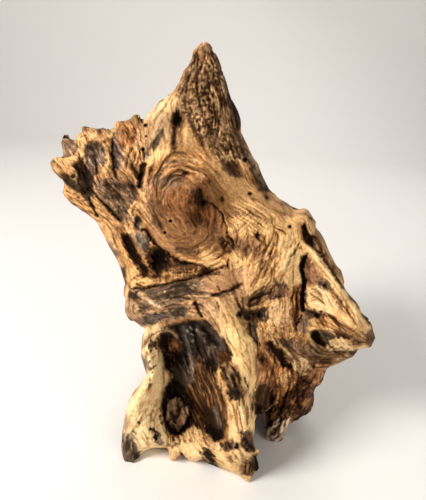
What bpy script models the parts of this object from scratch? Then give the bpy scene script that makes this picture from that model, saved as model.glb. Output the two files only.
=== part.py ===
"""Bogwood: one weathered piece of root wood, standing on its broken feet.

Units are metres, +Z is up, and the origin is at the bottom centre of the wood.

The outline of each mass is drawn on a tilted picture plane, as seen from a
viewpoint in front of the wood and a little above it. A point (u, v) of that
plane and a forward distance from the viewpoint give a point in space, so the
front and back surfaces are distances over the outline, and the wood's profile
is the outline itself. The distances below are in millimetres.
"""

import math

import bmesh
import bpy
import numpy as np

# ---------------------------------------------------------------- dimensions
VIEW_HEIGHT = 305.0        # height of the viewpoint above the feet, mm
FOCAL = 427.0              # distance of the picture plane, in its own units
PLANE_CENTRE = (213.0, 250.0)
SIDE = (0.99701, 0.07717, 0.0)          # picture-plane axes, in terms of (u, v, focal)
FORWARD = (0.03464, -0.44753, 0.89359)
DOWN = (-0.06896, 0.89092, 0.44888)

OUTLINE_VOXEL = 0.0028     # remesh size of the drawn masses (plane units / 1000)
WOOD_VOXEL = 0.0042        # remesh size of the joined wood, m
TARGET_TRIANGLES = 5600
UNDER_CLEARANCE = 16.0     # height of the hollow underside between the feet, mm
FOOT_RADIUS = 17.0         # mm
FOOT_CUT = 1.2             # how much is sawn flat off the feet, mm

WOOD_COLOUR = (0.60, 0.36, 0.15, 1.0)

# ------------------------------------------------------------ main outline
BODY_OUTLINE = [
    (200, 44), (207, 42), (213, 48), (219, 60), (225, 78), (232, 100),
    (240, 117), (241, 131), (247, 144), (254, 159), (263, 177), (269, 189),
    (278, 198), (291, 206), (304, 208), (311, 214), (316, 224), (323, 237),
    (331, 255), (337, 266), (344, 279), (347, 292), (357, 302), (363, 314),
    (371, 323), (377, 337), (371, 347), (357, 351), (350, 358), (340, 363),
    (328, 368), (312, 374), (298, 384), (284, 396), (268, 409), (259, 416),
    (255, 421), (254, 440), (257, 455), (259, 467), (254, 475), (248, 484),
    (242, 478), (232, 473), (218, 469), (208, 464), (200, 459), (194, 463),
    (181, 455), (174, 462), (168, 450), (152, 448), (142, 454), (130, 466),
    (122, 460), (121, 442), (124, 422), (129, 401), (139, 385), (147, 375),
    (142, 360), (141, 346), (145, 329), (134, 321), (126, 314), (125, 302),
    (124, 288), (122, 273), (113, 253), (103, 234), (95, 220), (82, 211),
    (68, 200), (63, 191), (62, 181), (53, 171), (50, 163), (55, 156),
    (62, 157), (61, 142), (65, 134), (74, 139), (78, 133), (83, 127),
    (92, 127), (108, 129), (115, 123), (129, 120), (138, 115), (143, 123),
    (148, 113), (159, 100), (166, 98), (174, 88), (180, 80), (188, 66),
    (192, 54),
]

# front surface: (u, v, distance)
BODY_FRONT = [
    (203, 44, 262), (200, 70, 256), (215, 72, 261), (190, 82, 254), (205, 100, 253),
    (228, 102, 262), (185, 100, 250), (200, 125, 250), (220, 125, 254), (236, 122, 264),
    (225, 150, 249), (245, 152, 258), (210, 150, 245), (262, 184, 255), (250, 175, 249),
    (165, 105, 250), (155, 117, 249), (150, 135, 245), (163, 150, 240), (178, 120, 250),
    (180, 205, 224), (162, 190, 230), (150, 205, 235), (147, 232, 240), (166, 172, 235),
    (186, 165, 236), (205, 180, 231), (213, 205, 230), (226, 216, 235), (200, 240, 228),
    (175, 245, 230), (160, 242, 234), (190, 258, 234), (240, 200, 239), (260, 200, 245),
    (280, 212, 249), (298, 217, 253), (245, 225, 234), (265, 240, 232), (285, 240, 237),
    (235, 240, 234), (255, 265, 227), (276, 265, 228), (240, 280, 230), (255, 300, 230),
    (286, 285, 232), (270, 300, 230), (250, 316, 237), (286, 315, 231), (303, 280, 238),
    (310, 247, 244), (322, 262, 238), (335, 278, 234), (346, 293, 231), (357, 308, 229),
    (367, 332, 228), (315, 292, 236), (326, 310, 232), (320, 335, 235), (320, 240, 252),
    (340, 270, 246), (355, 300, 242), (372, 330, 238), (340, 352, 240), (320, 352, 245),
    (300, 352, 244), (298, 366, 251), (328, 364, 254), (275, 360, 238), (285, 384, 246),
    (266, 400, 250), (140, 300, 240), (165, 286, 233), (200, 285, 230), (215, 300, 227),
    (150, 325, 236), (180, 315, 228), (200, 320, 224), (225, 320, 221), (140, 270, 241),
    (170, 268, 232), (200, 264, 230), (240, 330, 218), (245, 360, 211), (240, 390, 207),
    (238, 420, 206), (235, 445, 207), (225, 465, 212), (150, 352, 232), (140, 402, 222),
    (150, 380, 222), (146, 430, 219), (160, 442, 222), (130, 442, 224), (175, 345, 242),
    (190, 340, 233), (188, 380, 235), (206, 350, 235), (172, 370, 249), (170, 392, 251),
    (181, 412, 246), (202, 392, 238), (211, 422, 240), (180, 428, 240), (196, 444, 225),
    (176, 447, 226), (56, 165, 252), (70, 150, 252), (76, 200, 250), (100, 150, 248),
    (120, 140, 250), (138, 128, 252), (100, 202, 248), (120, 180, 246), (135, 200, 246),
    (110, 230, 249), (124, 262, 250), (130, 220, 244), (141, 176, 251), (139, 242, 243),
    (152, 262, 246), (128, 290, 246), (128, 310, 245), (135, 320, 243), (260, 340, 226),
    (262, 380, 228), (255, 410, 214),
]

# rim where front and back meet: (u, v, distance, rounding width in plane units)
BODY_RIM = [
    (205, 43, 268, 6), (228, 90, 275, 8), (241, 120, 281, 10), (262, 175, 283, 10),
    (278, 198, 287, 10), (300, 209, 283, 11), (316, 222, 277, 8), (340, 270, 264, 6),
    (360, 305, 253, 5), (375, 335, 242, 4), (357, 351, 249, 5), (330, 367, 262, 6),
    (312, 374, 268, 7), (284, 396, 262, 8), (262, 413, 250, 7), (254, 430, 224, 5),
    (257, 460, 219, 5), (248, 484, 213, 4), (232, 473, 220, 4), (213, 465, 226, 4),
    (197, 462, 228, 4), (181, 455, 233, 4), (172, 461, 227, 4), (150, 448, 237, 5),
    (130, 466, 220, 4), (121, 448, 234, 5), (124, 424, 238, 8), (135, 390, 243, 10),
    (143, 360, 252, 10), (143, 328, 262, 10), (125, 306, 266, 10), (123, 284, 268, 11),
    (113, 253, 265, 7), (95, 220, 259, 4), (65, 197, 257, 3), (50, 163, 255, 3),
    (70, 135, 257, 2.5), (100, 127, 257, 3), (135, 115, 259, 4), (143, 123, 260, 4),
    (150, 110, 263, 5), (165, 97, 266, 6), (180, 80, 267, 6), (190, 60, 268, 5),
]

# back surface: (u, v, distance)
BODY_BACK = [
    (205, 60, 278), (213, 85, 288), (198, 95, 290), (215, 115, 298), (188, 120, 300),
    (232, 150, 312), (195, 150, 318), (160, 120, 276), (182, 200, 342), (155, 165, 300),
    (70, 160, 262), (100, 165, 268), (90, 200, 266), (120, 145, 270), (122, 200, 285),
    (120, 240, 290), (145, 210, 318), (270, 215, 335), (300, 228, 318), (235, 200, 346),
    (330, 268, 292), (350, 310, 270), (365, 332, 254), (340, 345, 268), (310, 350, 288),
    (140, 292, 306), (160, 270, 330), (185, 300, 350), (250, 290, 352), (292, 315, 322),
    (218, 250, 350), (150, 350, 300), (145, 400, 275), (190, 370, 345), (240, 370, 335),
    (280, 370, 305), (300, 372, 290), (230, 430, 300), (160, 430, 280), (255, 400, 300),
]

# ------------------------------------------------------- rear leg, right side
LEG_OUTLINE = [
    (292, 352), (318, 362), (326, 370), (323, 380), (316, 387), (314, 402),
    (309, 413), (298, 420), (289, 425), (286, 433), (281, 441), (268, 443),
    (265, 436), (265, 426), (262, 408), (256, 392), (262, 366),
]
LEG_FRONT = [
    (290, 362, 262), (315, 372, 262), (275, 385, 262), (300, 385, 252), (308, 402, 252),
    (288, 402, 252), (272, 410, 262), (296, 416, 254), (280, 428, 251), (271, 436, 250),
]
LEG_RIM = [
    (292, 352, 290, 8), (325, 372, 278, 9), (314, 400, 274, 9), (300, 419, 270, 8),
    (286, 433, 261, 5), (274, 442, 254, 4), (265, 436, 257, 5), (262, 408, 276, 7),
    (258, 380, 290, 8),
]
LEG_BACK = [
    (295, 365, 312), (315, 378, 292), (280, 385, 315), (300, 405, 290), (275, 410, 295),
    (280, 430, 276),
]

# ------------------------------------------- root stubs on the hidden side
# each is a tapering limb: points (x, y, z) in mm and the radius there
REAR_STUBS = [
    ("rear_root", [((-8, 300, 128), 34), ((-14, 318, 74), 31), ((-24, 331, 32), 24), ((-32, 338, -8), 19)]),
    ("rear_toe", [((36, 290, 118), 34), ((46, 304, 70), 30), ((54, 315, 32), 22), ((60, 322, -8), 17)]),
    ("back_snag", [((0, 306, 200), 34), ((-3, 326, 230), 20), ((-6, 331, 247), 11)]),
    ("side_rib", [((46, 292, 176), 22), ((70, 287, 156), 17), ((83, 277, 134), 12), ((87, 262, 118), 7)]),
]

# feet on the ground: (x, y, radius factor)
FEET = [(41, 216, 0.7), (-54, 230, 1.0), (66, 256, 0.9), (-31, 338, 1.3), (60, 322, 1.2)]

# broad hollows and swellings of the back and sides: (x, y, z, radius, depth), mm
BACK_SCULPT = [
    (16, 356, 196, 17, -10), (11, 358, 172, 18, -15), (4, 358, 147, 17, -14), (-2, 352, 122, 15, -9),
    (-34, 322, 190, 22, -9), (38, 345, 178, 20, 7), (-22, 346, 160, 16, 6),
    (-46, 300, 140, 22, 6), (70, 300, 150, 20, -6), (12, 340, 84, 20, -9),
    (-70, 268, 205, 22, -3), (20, 300, 262, 16, -4), (52, 318, 108, 18, -7),
]
FLUTE_HEIGHT = 5.5         # height of the long ridges of the back, mm
FLUTE_WIDTH = 30.0         # across one ridge, mm
FLUTE_LENGTH = 5.0         # how many times longer than wide
FLUTE_TWIST = 0.0068       # turn of the grain around the wood, radians per mm


# ------------------------------------------------------------------ geometry
def to_space(u, v, distance):
    """Points of the plane at a forward distance, as (x, y, z) in mm."""
    ray = np.stack([u - PLANE_CENTRE[0], v - PLANE_CENTRE[1], np.full_like(u, FOCAL)], 1)
    forward = ray @ np.array(FORWARD)
    x = distance * (ray @ np.array(SIDE)) / forward
    z = VIEW_HEIGHT - distance * (ray @ np.array(DOWN)) / forward
    return np.stack([x, distance, z], 1)


def surface_through(points, column=2):
    """A smooth thin-plate surface through hand-placed points."""
    table = np.array(points, float)
    centres = table[:, :2] / 100.0
    squared = ((centres[:, None] - centres[None]) ** 2).sum(-1)
    kernel = 0.5 * squared * np.log(squared + 1e-12) + 2e-4 * np.eye(len(table))
    plane = np.c_[np.ones(len(table)), centres]
    system = np.block([[kernel, plane], [plane.T, np.zeros((3, 3))]])
    weights = np.linalg.solve(system, np.r_[table[:, column], 0, 0, 0])

    def at(u, v):
        where = np.stack([u, v], 1) / 100.0
        squared = ((where[:, None] - centres[None]) ** 2).sum(-1)
        return 0.5 * squared * np.log(squared + 1e-12) @ weights[:-3] + weights[-3] + where @ weights[-2:]

    return at


def along_rim(points, column):
    """A value carried along the rim: a blend of the nearest rim points."""
    table = np.array(points, float)

    def at(u, v):
        squared = ((u[:, None] - table[:, 0]) ** 2 + (v[:, None] - table[:, 1]) ** 2) + 4.0
        weight = squared ** -2.0
        return (weight * table[:, column]).sum(1) / weight.sum(1)

    return at


LATTICE = np.random.RandomState(11).rand(32, 32, 32)


def noise(points):
    """Smooth noise from 0 to 1 over points, one unit per cell."""
    cell = np.floor(points).astype(int)
    t = points - cell
    t = t * t * (3 - 2 * t)
    value = 0.0
    for dx in (0, 1):
        for dy in (0, 1):
            for dz in (0, 1):
                weight = (
                    (t[:, 0] if dx else 1 - t[:, 0])
                    * (t[:, 1] if dy else 1 - t[:, 1])
                    * (t[:, 2] if dz else 1 - t[:, 2])
                )
                value = value + weight * LATTICE[(cell[:, 0] + dx) % 32, (cell[:, 1] + dy) % 32, (cell[:, 2] + dz) % 32]
    return value


def distance_to_outline(u, v, outline):
    start = np.array(outline, float)
    end = np.roll(start, -1, axis=0)
    edge = end - start
    best = np.full(len(u), 1e9)
    for (a, b), (du, dv) in zip(start, edge):
        length = du * du + dv * dv
        t = np.clip(((u - a) * du + (v - b) * dv) / length, 0, 1)
        best = np.minimum(best, (u - a - t * du) ** 2 + (v - b - t * dv) ** 2)
    return np.sqrt(best)


def rounded(distance, width):
    """0 at the rim, 1 once width is passed, with a round shoulder."""
    t = 1.0 - np.clip(distance / width, 0, 1)
    return np.sqrt(np.clip(1.0 - t * t, 0, 1))


# -------------------------------------------------------------- Blender tools
def clear_scene():
    for obj in list(bpy.data.objects):
        bpy.data.objects.remove(obj, do_unlink=True)
    for mesh in list(bpy.data.meshes):
        bpy.data.meshes.remove(mesh)


def new_collection(name):
    made = bpy.data.collections.new(name)
    bpy.context.scene.collection.children.link(made)
    return made


def baked(obj, name):
    """The evaluated object as a new mesh, with its points in world space."""
    bpy.context.view_layer.update()
    graph = bpy.context.evaluated_depsgraph_get()
    mesh = bpy.data.meshes.new_from_object(obj.evaluated_get(graph))
    mesh.name = name
    mesh.transform(obj.matrix_world)
    bm = bmesh.new()
    bm.from_mesh(mesh)
    bmesh.ops.remove_doubles(bm, verts=bm.verts, dist=1e-6)
    bmesh.ops.recalc_face_normals(bm, faces=bm.faces)
    bm.to_mesh(mesh)
    bm.free()
    return mesh


def points_of(mesh):
    flat = np.empty(len(mesh.vertices) * 3)
    mesh.vertices.foreach_get("co", flat)
    return flat.reshape(-1, 3)


def move_points(mesh, points):
    mesh.vertices.foreach_set("co", np.asarray(points, float).ravel())
    mesh.update()


def drawn_mass(name, outline, front, rim, back):
    """A mass from its drawn outline: the filled outline is thickened, remeshed,
    and its front, back and rim are then pushed to their distances."""
    curve = bpy.data.curves.new(name + "_outline", "CURVE")
    curve.dimensions = "2D"
    curve.fill_mode = "BOTH"
    curve.extrude = 0.006
    spline = curve.splines.new("POLY")
    spline.points.add(len(outline) - 1)
    for point, (u, v) in zip(spline.points, outline):
        point.co = (u / 1000, -v / 1000, 0, 1)
    spline.use_cyclic_u = True
    guide = bpy.data.objects.new(name + "_outline", curve)
    guides.objects.link(guide)

    slab = bpy.data.objects.new(name, baked(guide, name))
    wood.objects.link(slab)
    guide.hide_render = True
    guide.display_type = "WIRE"
    remesh = slab.modifiers.new("Even faces", "REMESH")
    remesh.mode = "VOXEL"
    remesh.voxel_size = OUTLINE_VOXEL
    mesh = baked(slab, name)
    old = slab.data
    slab.modifiers.clear()
    slab.data = mesh
    bpy.data.meshes.remove(old)

    flat = points_of(mesh)
    u, v = flat[:, 0] * 1000, -flat[:, 1] * 1000
    toward_back = np.clip((flat[:, 2] + 0.0045) / 0.009, 0, 1)
    inward = distance_to_outline(u, v, outline)
    shoulder = rounded(inward - 1.0, along_rim(rim, 3)(u, v))
    broad = rounded(inward - 1.0, 26.0)
    edge = along_rim(rim, 2)(u, v)
    near = edge + (surface_through(front)(u, v) - edge) * shoulder
    far = edge + np.maximum(surface_through(back)(u, v) - edge, 4.0) * broad
    distance = near * (1 - toward_back) + far * toward_back
    move_points(mesh, to_space(u, v, distance) / 1000)
    return slab


def stub(name, route):
    """A tapering root stub: a bevelled curve with a radius at each point."""
    curve = bpy.data.curves.new(name, "CURVE")
    curve.dimensions = "3D"
    curve.bevel_depth = 0.001
    curve.bevel_resolution = 3
    curve.resolution_u = 6
    curve.use_fill_caps = True
    spline = curve.splines.new("BEZIER")
    spline.bezier_points.add(len(route) - 1)
    for point, (place, radius) in zip(spline.bezier_points, route):
        point.co = [c / 1000 for c in place]
        point.radius = radius
        point.handle_left_type = point.handle_right_type = "AUTO"
    obj = bpy.data.objects.new(name, curve)
    guides.objects.link(obj)
    made = bpy.data.objects.new(name + "_solid", baked(obj, name))
    obj.hide_render = True
    obj.display_type = "WIRE"
    wood.objects.link(made)
    return made


def joined(objects, name):
    """The masses in one mesh, which the remesh then makes one skin."""
    bm = bmesh.new()
    for obj in objects:
        bm.from_mesh(obj.data)
    mesh = bpy.data.meshes.new(name)
    bm.to_mesh(mesh)
    bm.free()
    for obj in objects:
        data = obj.data
        bpy.data.objects.remove(obj, do_unlink=True)
        bpy.data.meshes.remove(data)
    made = bpy.data.objects.new(name, mesh)
    wood.objects.link(made)
    return made


def hollow_underside(points):
    """Lifts the underside between the feet, and leaves the feet on the ground."""
    x, y, z = points.T * 1000
    lift = np.full(len(points), UNDER_CLEARANCE)
    # the front rim stands on the ground along its small feet
    lift *= np.clip((y - 236) / 16, 0, 1)
    for fx, fy, size in FEET:
        reach = FOOT_RADIUS * size
        near = np.exp(-(((x - fx) ** 2 + (y - fy) ** 2) / reach ** 2) ** 1.5)
        lift = lift * (1 - near) - 3.0 * near
    behind = y > 226
    z = np.where(behind & (z < lift), lift, z)
    z = np.maximum(z, -3.0)
    return np.stack([x, y, z], 1) / 1000


def along_grain(p, width):
    """Coordinates that turn with the grain: one unit is a ridge's width across,
    and FLUTE_LENGTH widths along."""
    turn = FLUTE_TWIST * (p[:, 2] - 150)
    x, y = p[:, 0] - 5, p[:, 1] - 285
    return np.stack([
        (x * np.cos(turn) - y * np.sin(turn)) / width,
        (x * np.sin(turn) + y * np.cos(turn)) / width,
        p[:, 2] / (width * FLUTE_LENGTH),
    ], 1)


def sculpted(points, normals):
    """Broad hollows, swellings and long torn ridges on the back and sides."""
    p = points * 1000
    push = np.zeros(len(p))
    for x, y, z, radius, depth in BACK_SCULPT:
        reach = ((p - (x, y, z)) ** 2).sum(1) / radius ** 2
        push += depth * np.exp(-reach)
    behind = np.clip((p[:, 1] - 272) / 22, 0, 1) * np.clip((285 - p[:, 2]) / 30, 0.25, 1)
    ridges = 1 - 2 * np.abs(2 * noise(along_grain(p, FLUTE_WIDTH)) - 1)
    ridges += 0.4 * (1 - 2 * np.abs(2 * noise(along_grain(p, FLUTE_WIDTH * 0.45) + 9.7) - 1))
    push += behind * FLUTE_HEIGHT * ridges
    return points + normals * push[:, None] / 1000


# --------------------------------------------------------------------- build
clear_scene()
wood = new_collection("bogwood_wood")
guides = new_collection("bogwood_guides")

masses = [
    drawn_mass("body", BODY_OUTLINE, BODY_FRONT, BODY_RIM, BODY_BACK),
    drawn_mass("leg", LEG_OUTLINE, LEG_FRONT, LEG_RIM, LEG_BACK),
]
masses += [stub(name, route) for name, route in REAR_STUBS]
skin = joined(masses, "bogwood")

# one skin over all the masses, with the joins softened
remesh = skin.modifiers.new("One skin", "REMESH")
remesh.mode = "VOXEL"
remesh.voxel_size = 0.0022
soften = skin.modifiers.new("Soften joins", "SMOOTH")
soften.factor = 0.5
soften.iterations = 4
mesh = baked(skin, "bogwood")
skin.modifiers.clear()
old, skin.data = skin.data, mesh
bpy.data.meshes.remove(old)

normals = np.empty(len(mesh.vertices) * 3)
mesh.vertices.foreach_get("normal", normals)
points = sculpted(points_of(mesh), normals.reshape(-1, 3))
move_points(mesh, hollow_underside(points))

# an even skin again, then as few faces as the shape needs
remesh = skin.modifiers.new("Even skin", "REMESH")
remesh.mode = "VOXEL"
remesh.voxel_size = WOOD_VOXEL * 0.6
soften = skin.modifiers.new("Soften", "SMOOTH")
soften.factor = 0.5
soften.iterations = 2
fewer = skin.modifiers.new("Fewer faces", "DECIMATE")
fewer.ratio = 1.0
bpy.context.view_layer.update()
graph = bpy.context.evaluated_depsgraph_get()
count = sum(len(face.vertices) - 2 for face in skin.evaluated_get(graph).data.polygons)
fewer.ratio = TARGET_TRIANGLES / count

mesh = baked(skin, "bogwood")
skin.modifiers.clear()
old, skin.data = skin.data, mesh
bpy.data.meshes.remove(old)

# the feet are cut flat, so that the wood stands without rocking
bpy.ops.mesh.primitive_cube_add(size=1, location=(0, 0.28, -0.05 + FOOT_CUT / 1000))
ground = bpy.context.active_object
ground.name = "ground_cutter"
ground.scale = (0.4, 0.4, 0.1)
bpy.context.view_layer.update()
ground.data.transform(ground.matrix_world)
ground.matrix_world.identity()
for holder in list(ground.users_collection):
    holder.objects.unlink(ground)
guides.objects.link(ground)
ground.hide_render = True
ground.display_type = "WIRE"
cut = skin.modifiers.new("Flat feet", "BOOLEAN")
cut.operation = "DIFFERENCE"
cut.solver = "EXACT"
cut.object = ground
mesh = baked(skin, "bogwood")
skin.modifiers.clear()
old, skin.data = skin.data, mesh
bpy.data.meshes.remove(old)

# loose crumbs that the cut left are dropped
bm = bmesh.new()
bm.from_mesh(mesh)
left, islands = set(bm.verts), []
while left:
    island, edge = set(), [left.pop()]
    while edge:
        vert = edge.pop()
        island.add(vert)
        for link in vert.link_edges:
            other = link.other_vert(vert)
            if other in left:
                left.discard(other)
                edge.append(other)
    islands.append(island)
islands.sort(key=len)
for island in islands[:-1]:
    bmesh.ops.delete(bm, geom=list(island), context="VERTS")
bmesh.ops.triangulate(bm, faces=bm.faces)
bm.to_mesh(mesh)
bm.free()

# origin at the bottom centre
corners = points_of(mesh)
low, high = corners.min(0), corners.max(0)
shift = np.array([-(low[0] + high[0]) / 2, -(low[1] + high[1]) / 2, -low[2]])
move_points(mesh, corners + shift)
for helper in guides.objects:
    helper.matrix_world.translation += type(helper.location)(shift.tolist())

material = bpy.data.materials.new("bog_wood")
material.use_nodes = True
shader = material.node_tree.nodes["Principled BSDF"]
shader.inputs["Base Color"].default_value = WOOD_COLOUR
shader.inputs["Roughness"].default_value = 0.75
shader.inputs["Metallic"].default_value = 0.0
mesh.materials.clear()
mesh.materials.append(material)
mesh.shade_smooth()
mesh.set_sharp_from_angle(angle=math.radians(50))
wood.name = "bogwood"

print("origin shift, mm:", (shift * 1000).round(3).tolist(), "size, mm:", ((high - low) * 1000).round(1).tolist(), "bodies:", len(islands))
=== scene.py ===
"""Bogwood: one weathered piece of root wood, finished as wood.

The wood is drawn on a tilted picture plane, as seen from a viewpoint in front of
it and a little above. (u, v) are places on that plane, and a forward distance
from the viewpoint, in millimetres, gives a point in space. Every ridge, crack,
pit, hole and stain of the front is a stroke on that plane with its own width,
depth and colour. The back and the sides are worked in space.
"""

import math

import bmesh
import bpy
import numpy as np
from mathutils import Matrix, Vector


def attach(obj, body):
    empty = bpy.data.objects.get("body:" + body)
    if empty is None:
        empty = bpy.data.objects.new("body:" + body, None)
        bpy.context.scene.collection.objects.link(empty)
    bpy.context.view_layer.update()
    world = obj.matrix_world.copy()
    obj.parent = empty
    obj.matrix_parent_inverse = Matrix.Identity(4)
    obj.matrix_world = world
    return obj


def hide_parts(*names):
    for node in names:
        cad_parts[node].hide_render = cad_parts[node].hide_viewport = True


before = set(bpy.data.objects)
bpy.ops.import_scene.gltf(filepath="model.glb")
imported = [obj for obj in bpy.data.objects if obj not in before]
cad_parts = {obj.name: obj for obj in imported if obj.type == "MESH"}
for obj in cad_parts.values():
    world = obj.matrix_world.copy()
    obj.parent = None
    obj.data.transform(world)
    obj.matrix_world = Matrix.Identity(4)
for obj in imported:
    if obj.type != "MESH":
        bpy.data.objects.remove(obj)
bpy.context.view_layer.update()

# ------------------------------------------------------------------ constants
VIEW_HEIGHT = 305.0
FOCAL = 427.0
PLANE_CENTRE = (213.0, 250.0)
SIDE = np.array((0.99701, 0.07717, 0.0))
FORWARD = np.array((0.03464, -0.44753, 0.89359))
DOWN = np.array((-0.06896, 0.89092, 0.44888))
ORIGIN = np.array((7.63, 285.257, 1.2))      # the frame's origin, from below the viewpoint, mm

SKIN_VOXEL = 0.00078       # m
TRIANGLES = 196000
FINE_POINTS = 68000        # points of the drawn front that are all kept
GRID = 2                   # grid samples per unit of the picture plane
PLANE_SIZE = (426, 500)

LATTICE = np.random.RandomState(11).rand(32, 32, 32)


# ------------------------------------------------------------- basic geometry
def to_space(u, v, distance):
    ray = np.stack([u - PLANE_CENTRE[0], v - PLANE_CENTRE[1], np.full_like(u, FOCAL)], 1)
    forward = ray @ FORWARD
    x = distance * (ray @ SIDE) / forward
    z = VIEW_HEIGHT - distance * (ray @ DOWN) / forward
    return np.stack([x, distance, z], 1)


def to_plane(p):
    """(u, v) of points that are in mm, in the viewpoint's frame."""
    c = p[:, :1] * SIDE[None] + p[:, 1:2] * FORWARD[None] + (VIEW_HEIGHT - p[:, 2:3]) * DOWN[None]
    return PLANE_CENTRE[0] + FOCAL * c[:, 0] / c[:, 2], PLANE_CENTRE[1] + FOCAL * c[:, 1] / c[:, 2]


def surface_through(points):
    table = np.array(points, float)
    centres = table[:, :2] / 100.0
    squared = ((centres[:, None] - centres[None]) ** 2).sum(-1)
    kernel = 0.5 * squared * np.log(squared + 1e-12) + 2e-4 * np.eye(len(table))
    plane = np.c_[np.ones(len(table)), centres]
    system = np.block([[kernel, plane], [plane.T, np.zeros((3, 3))]])
    weights = np.linalg.solve(system, np.r_[table[:, 2], 0, 0, 0])

    def at(u, v):
        out = np.empty(len(u))
        for s in range(0, len(u), 20000):
            where = np.stack([u[s : s + 20000], v[s : s + 20000]], 1) / 100.0
            sq = ((where[:, None] - centres[None]) ** 2).sum(-1)
            out[s : s + 20000] = (
                0.5 * sq * np.log(sq + 1e-12) @ weights[:-3] + weights[-3] + where @ weights[-2:]
            )
        return out

    return at


def along_rim(points, column):
    table = np.array(points, float)

    def at(u, v):
        out = np.empty(len(u))
        for s in range(0, len(u), 50000):
            sq = (u[s : s + 50000, None] - table[:, 0]) ** 2 + (v[s : s + 50000, None] - table[:, 1]) ** 2 + 4.0
            w = sq**-2.0
            out[s : s + 50000] = (w * table[:, column]).sum(1) / w.sum(1)
        return out

    return at


def distance_to_outline(u, v, outline):
    start = np.array(outline, float)
    edge = np.roll(start, -1, axis=0) - start
    best = np.full(len(u), 1e9)
    for (a, b), (du, dv) in zip(start, edge):
        length = du * du + dv * dv
        t = np.clip(((u - a) * du + (v - b) * dv) / length, 0, 1)
        best = np.minimum(best, (u - a - t * du) ** 2 + (v - b - t * dv) ** 2)
    return np.sqrt(best)


def inside_outline(u, v, outline):
    inside = np.zeros(len(u), bool)
    pts = np.array(outline, float)
    for (a, b), (c, d) in zip(pts, np.roll(pts, -1, axis=0)):
        crosses = (b > v) != (d > v)
        with np.errstate(divide="ignore", invalid="ignore"):
            at = (c - a) * (v - b) / (d - b) + a
        inside ^= crosses & (u < at)
    return inside


def onto_outline(u, v, outline):
    """The nearest point of a closed outline, for each point of the plane."""
    best = np.full(len(u), 1e9)
    near_u, near_v = u.copy(), v.copy()
    a = np.asarray(outline, float)
    for (au, av), (bu, bv) in zip(a, np.roll(a, -1, axis=0)):
        du, dv = bu - au, bv - av
        t = np.clip(((u - au) * du + (v - av) * dv) / (du * du + dv * dv), 0, 1)
        cu, cv = au + t * du, av + t * dv
        d = np.hypot(u - cu, v - cv)
        closer = d < best
        best = np.where(closer, d, best)
        near_u, near_v = np.where(closer, cu, near_u), np.where(closer, cv, near_v)
    return near_u, near_v, best


def rounded(distance, width):
    t = 1.0 - np.clip(distance / width, 0, 1)
    return np.sqrt(np.clip(1.0 - t * t, 0, 1))


def smoothstep(a, b, x):
    t = np.clip((x - a) / (b - a), 0, 1)
    return t * t * (3 - 2 * t)


def noise(points):
    cell = np.floor(points).astype(int)
    t = points - cell
    t = t * t * (3 - 2 * t)
    value = 0.0
    for dx in (0, 1):
        for dy in (0, 1):
            for dz in (0, 1):
                weight = (
                    (t[:, 0] if dx else 1 - t[:, 0])
                    * (t[:, 1] if dy else 1 - t[:, 1])
                    * (t[:, 2] if dz else 1 - t[:, 2])
                )
                value = value + weight * LATTICE[(cell[:, 0] + dx) % 32, (cell[:, 1] + dy) % 32, (cell[:, 2] + dz) % 32]
    return value


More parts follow.
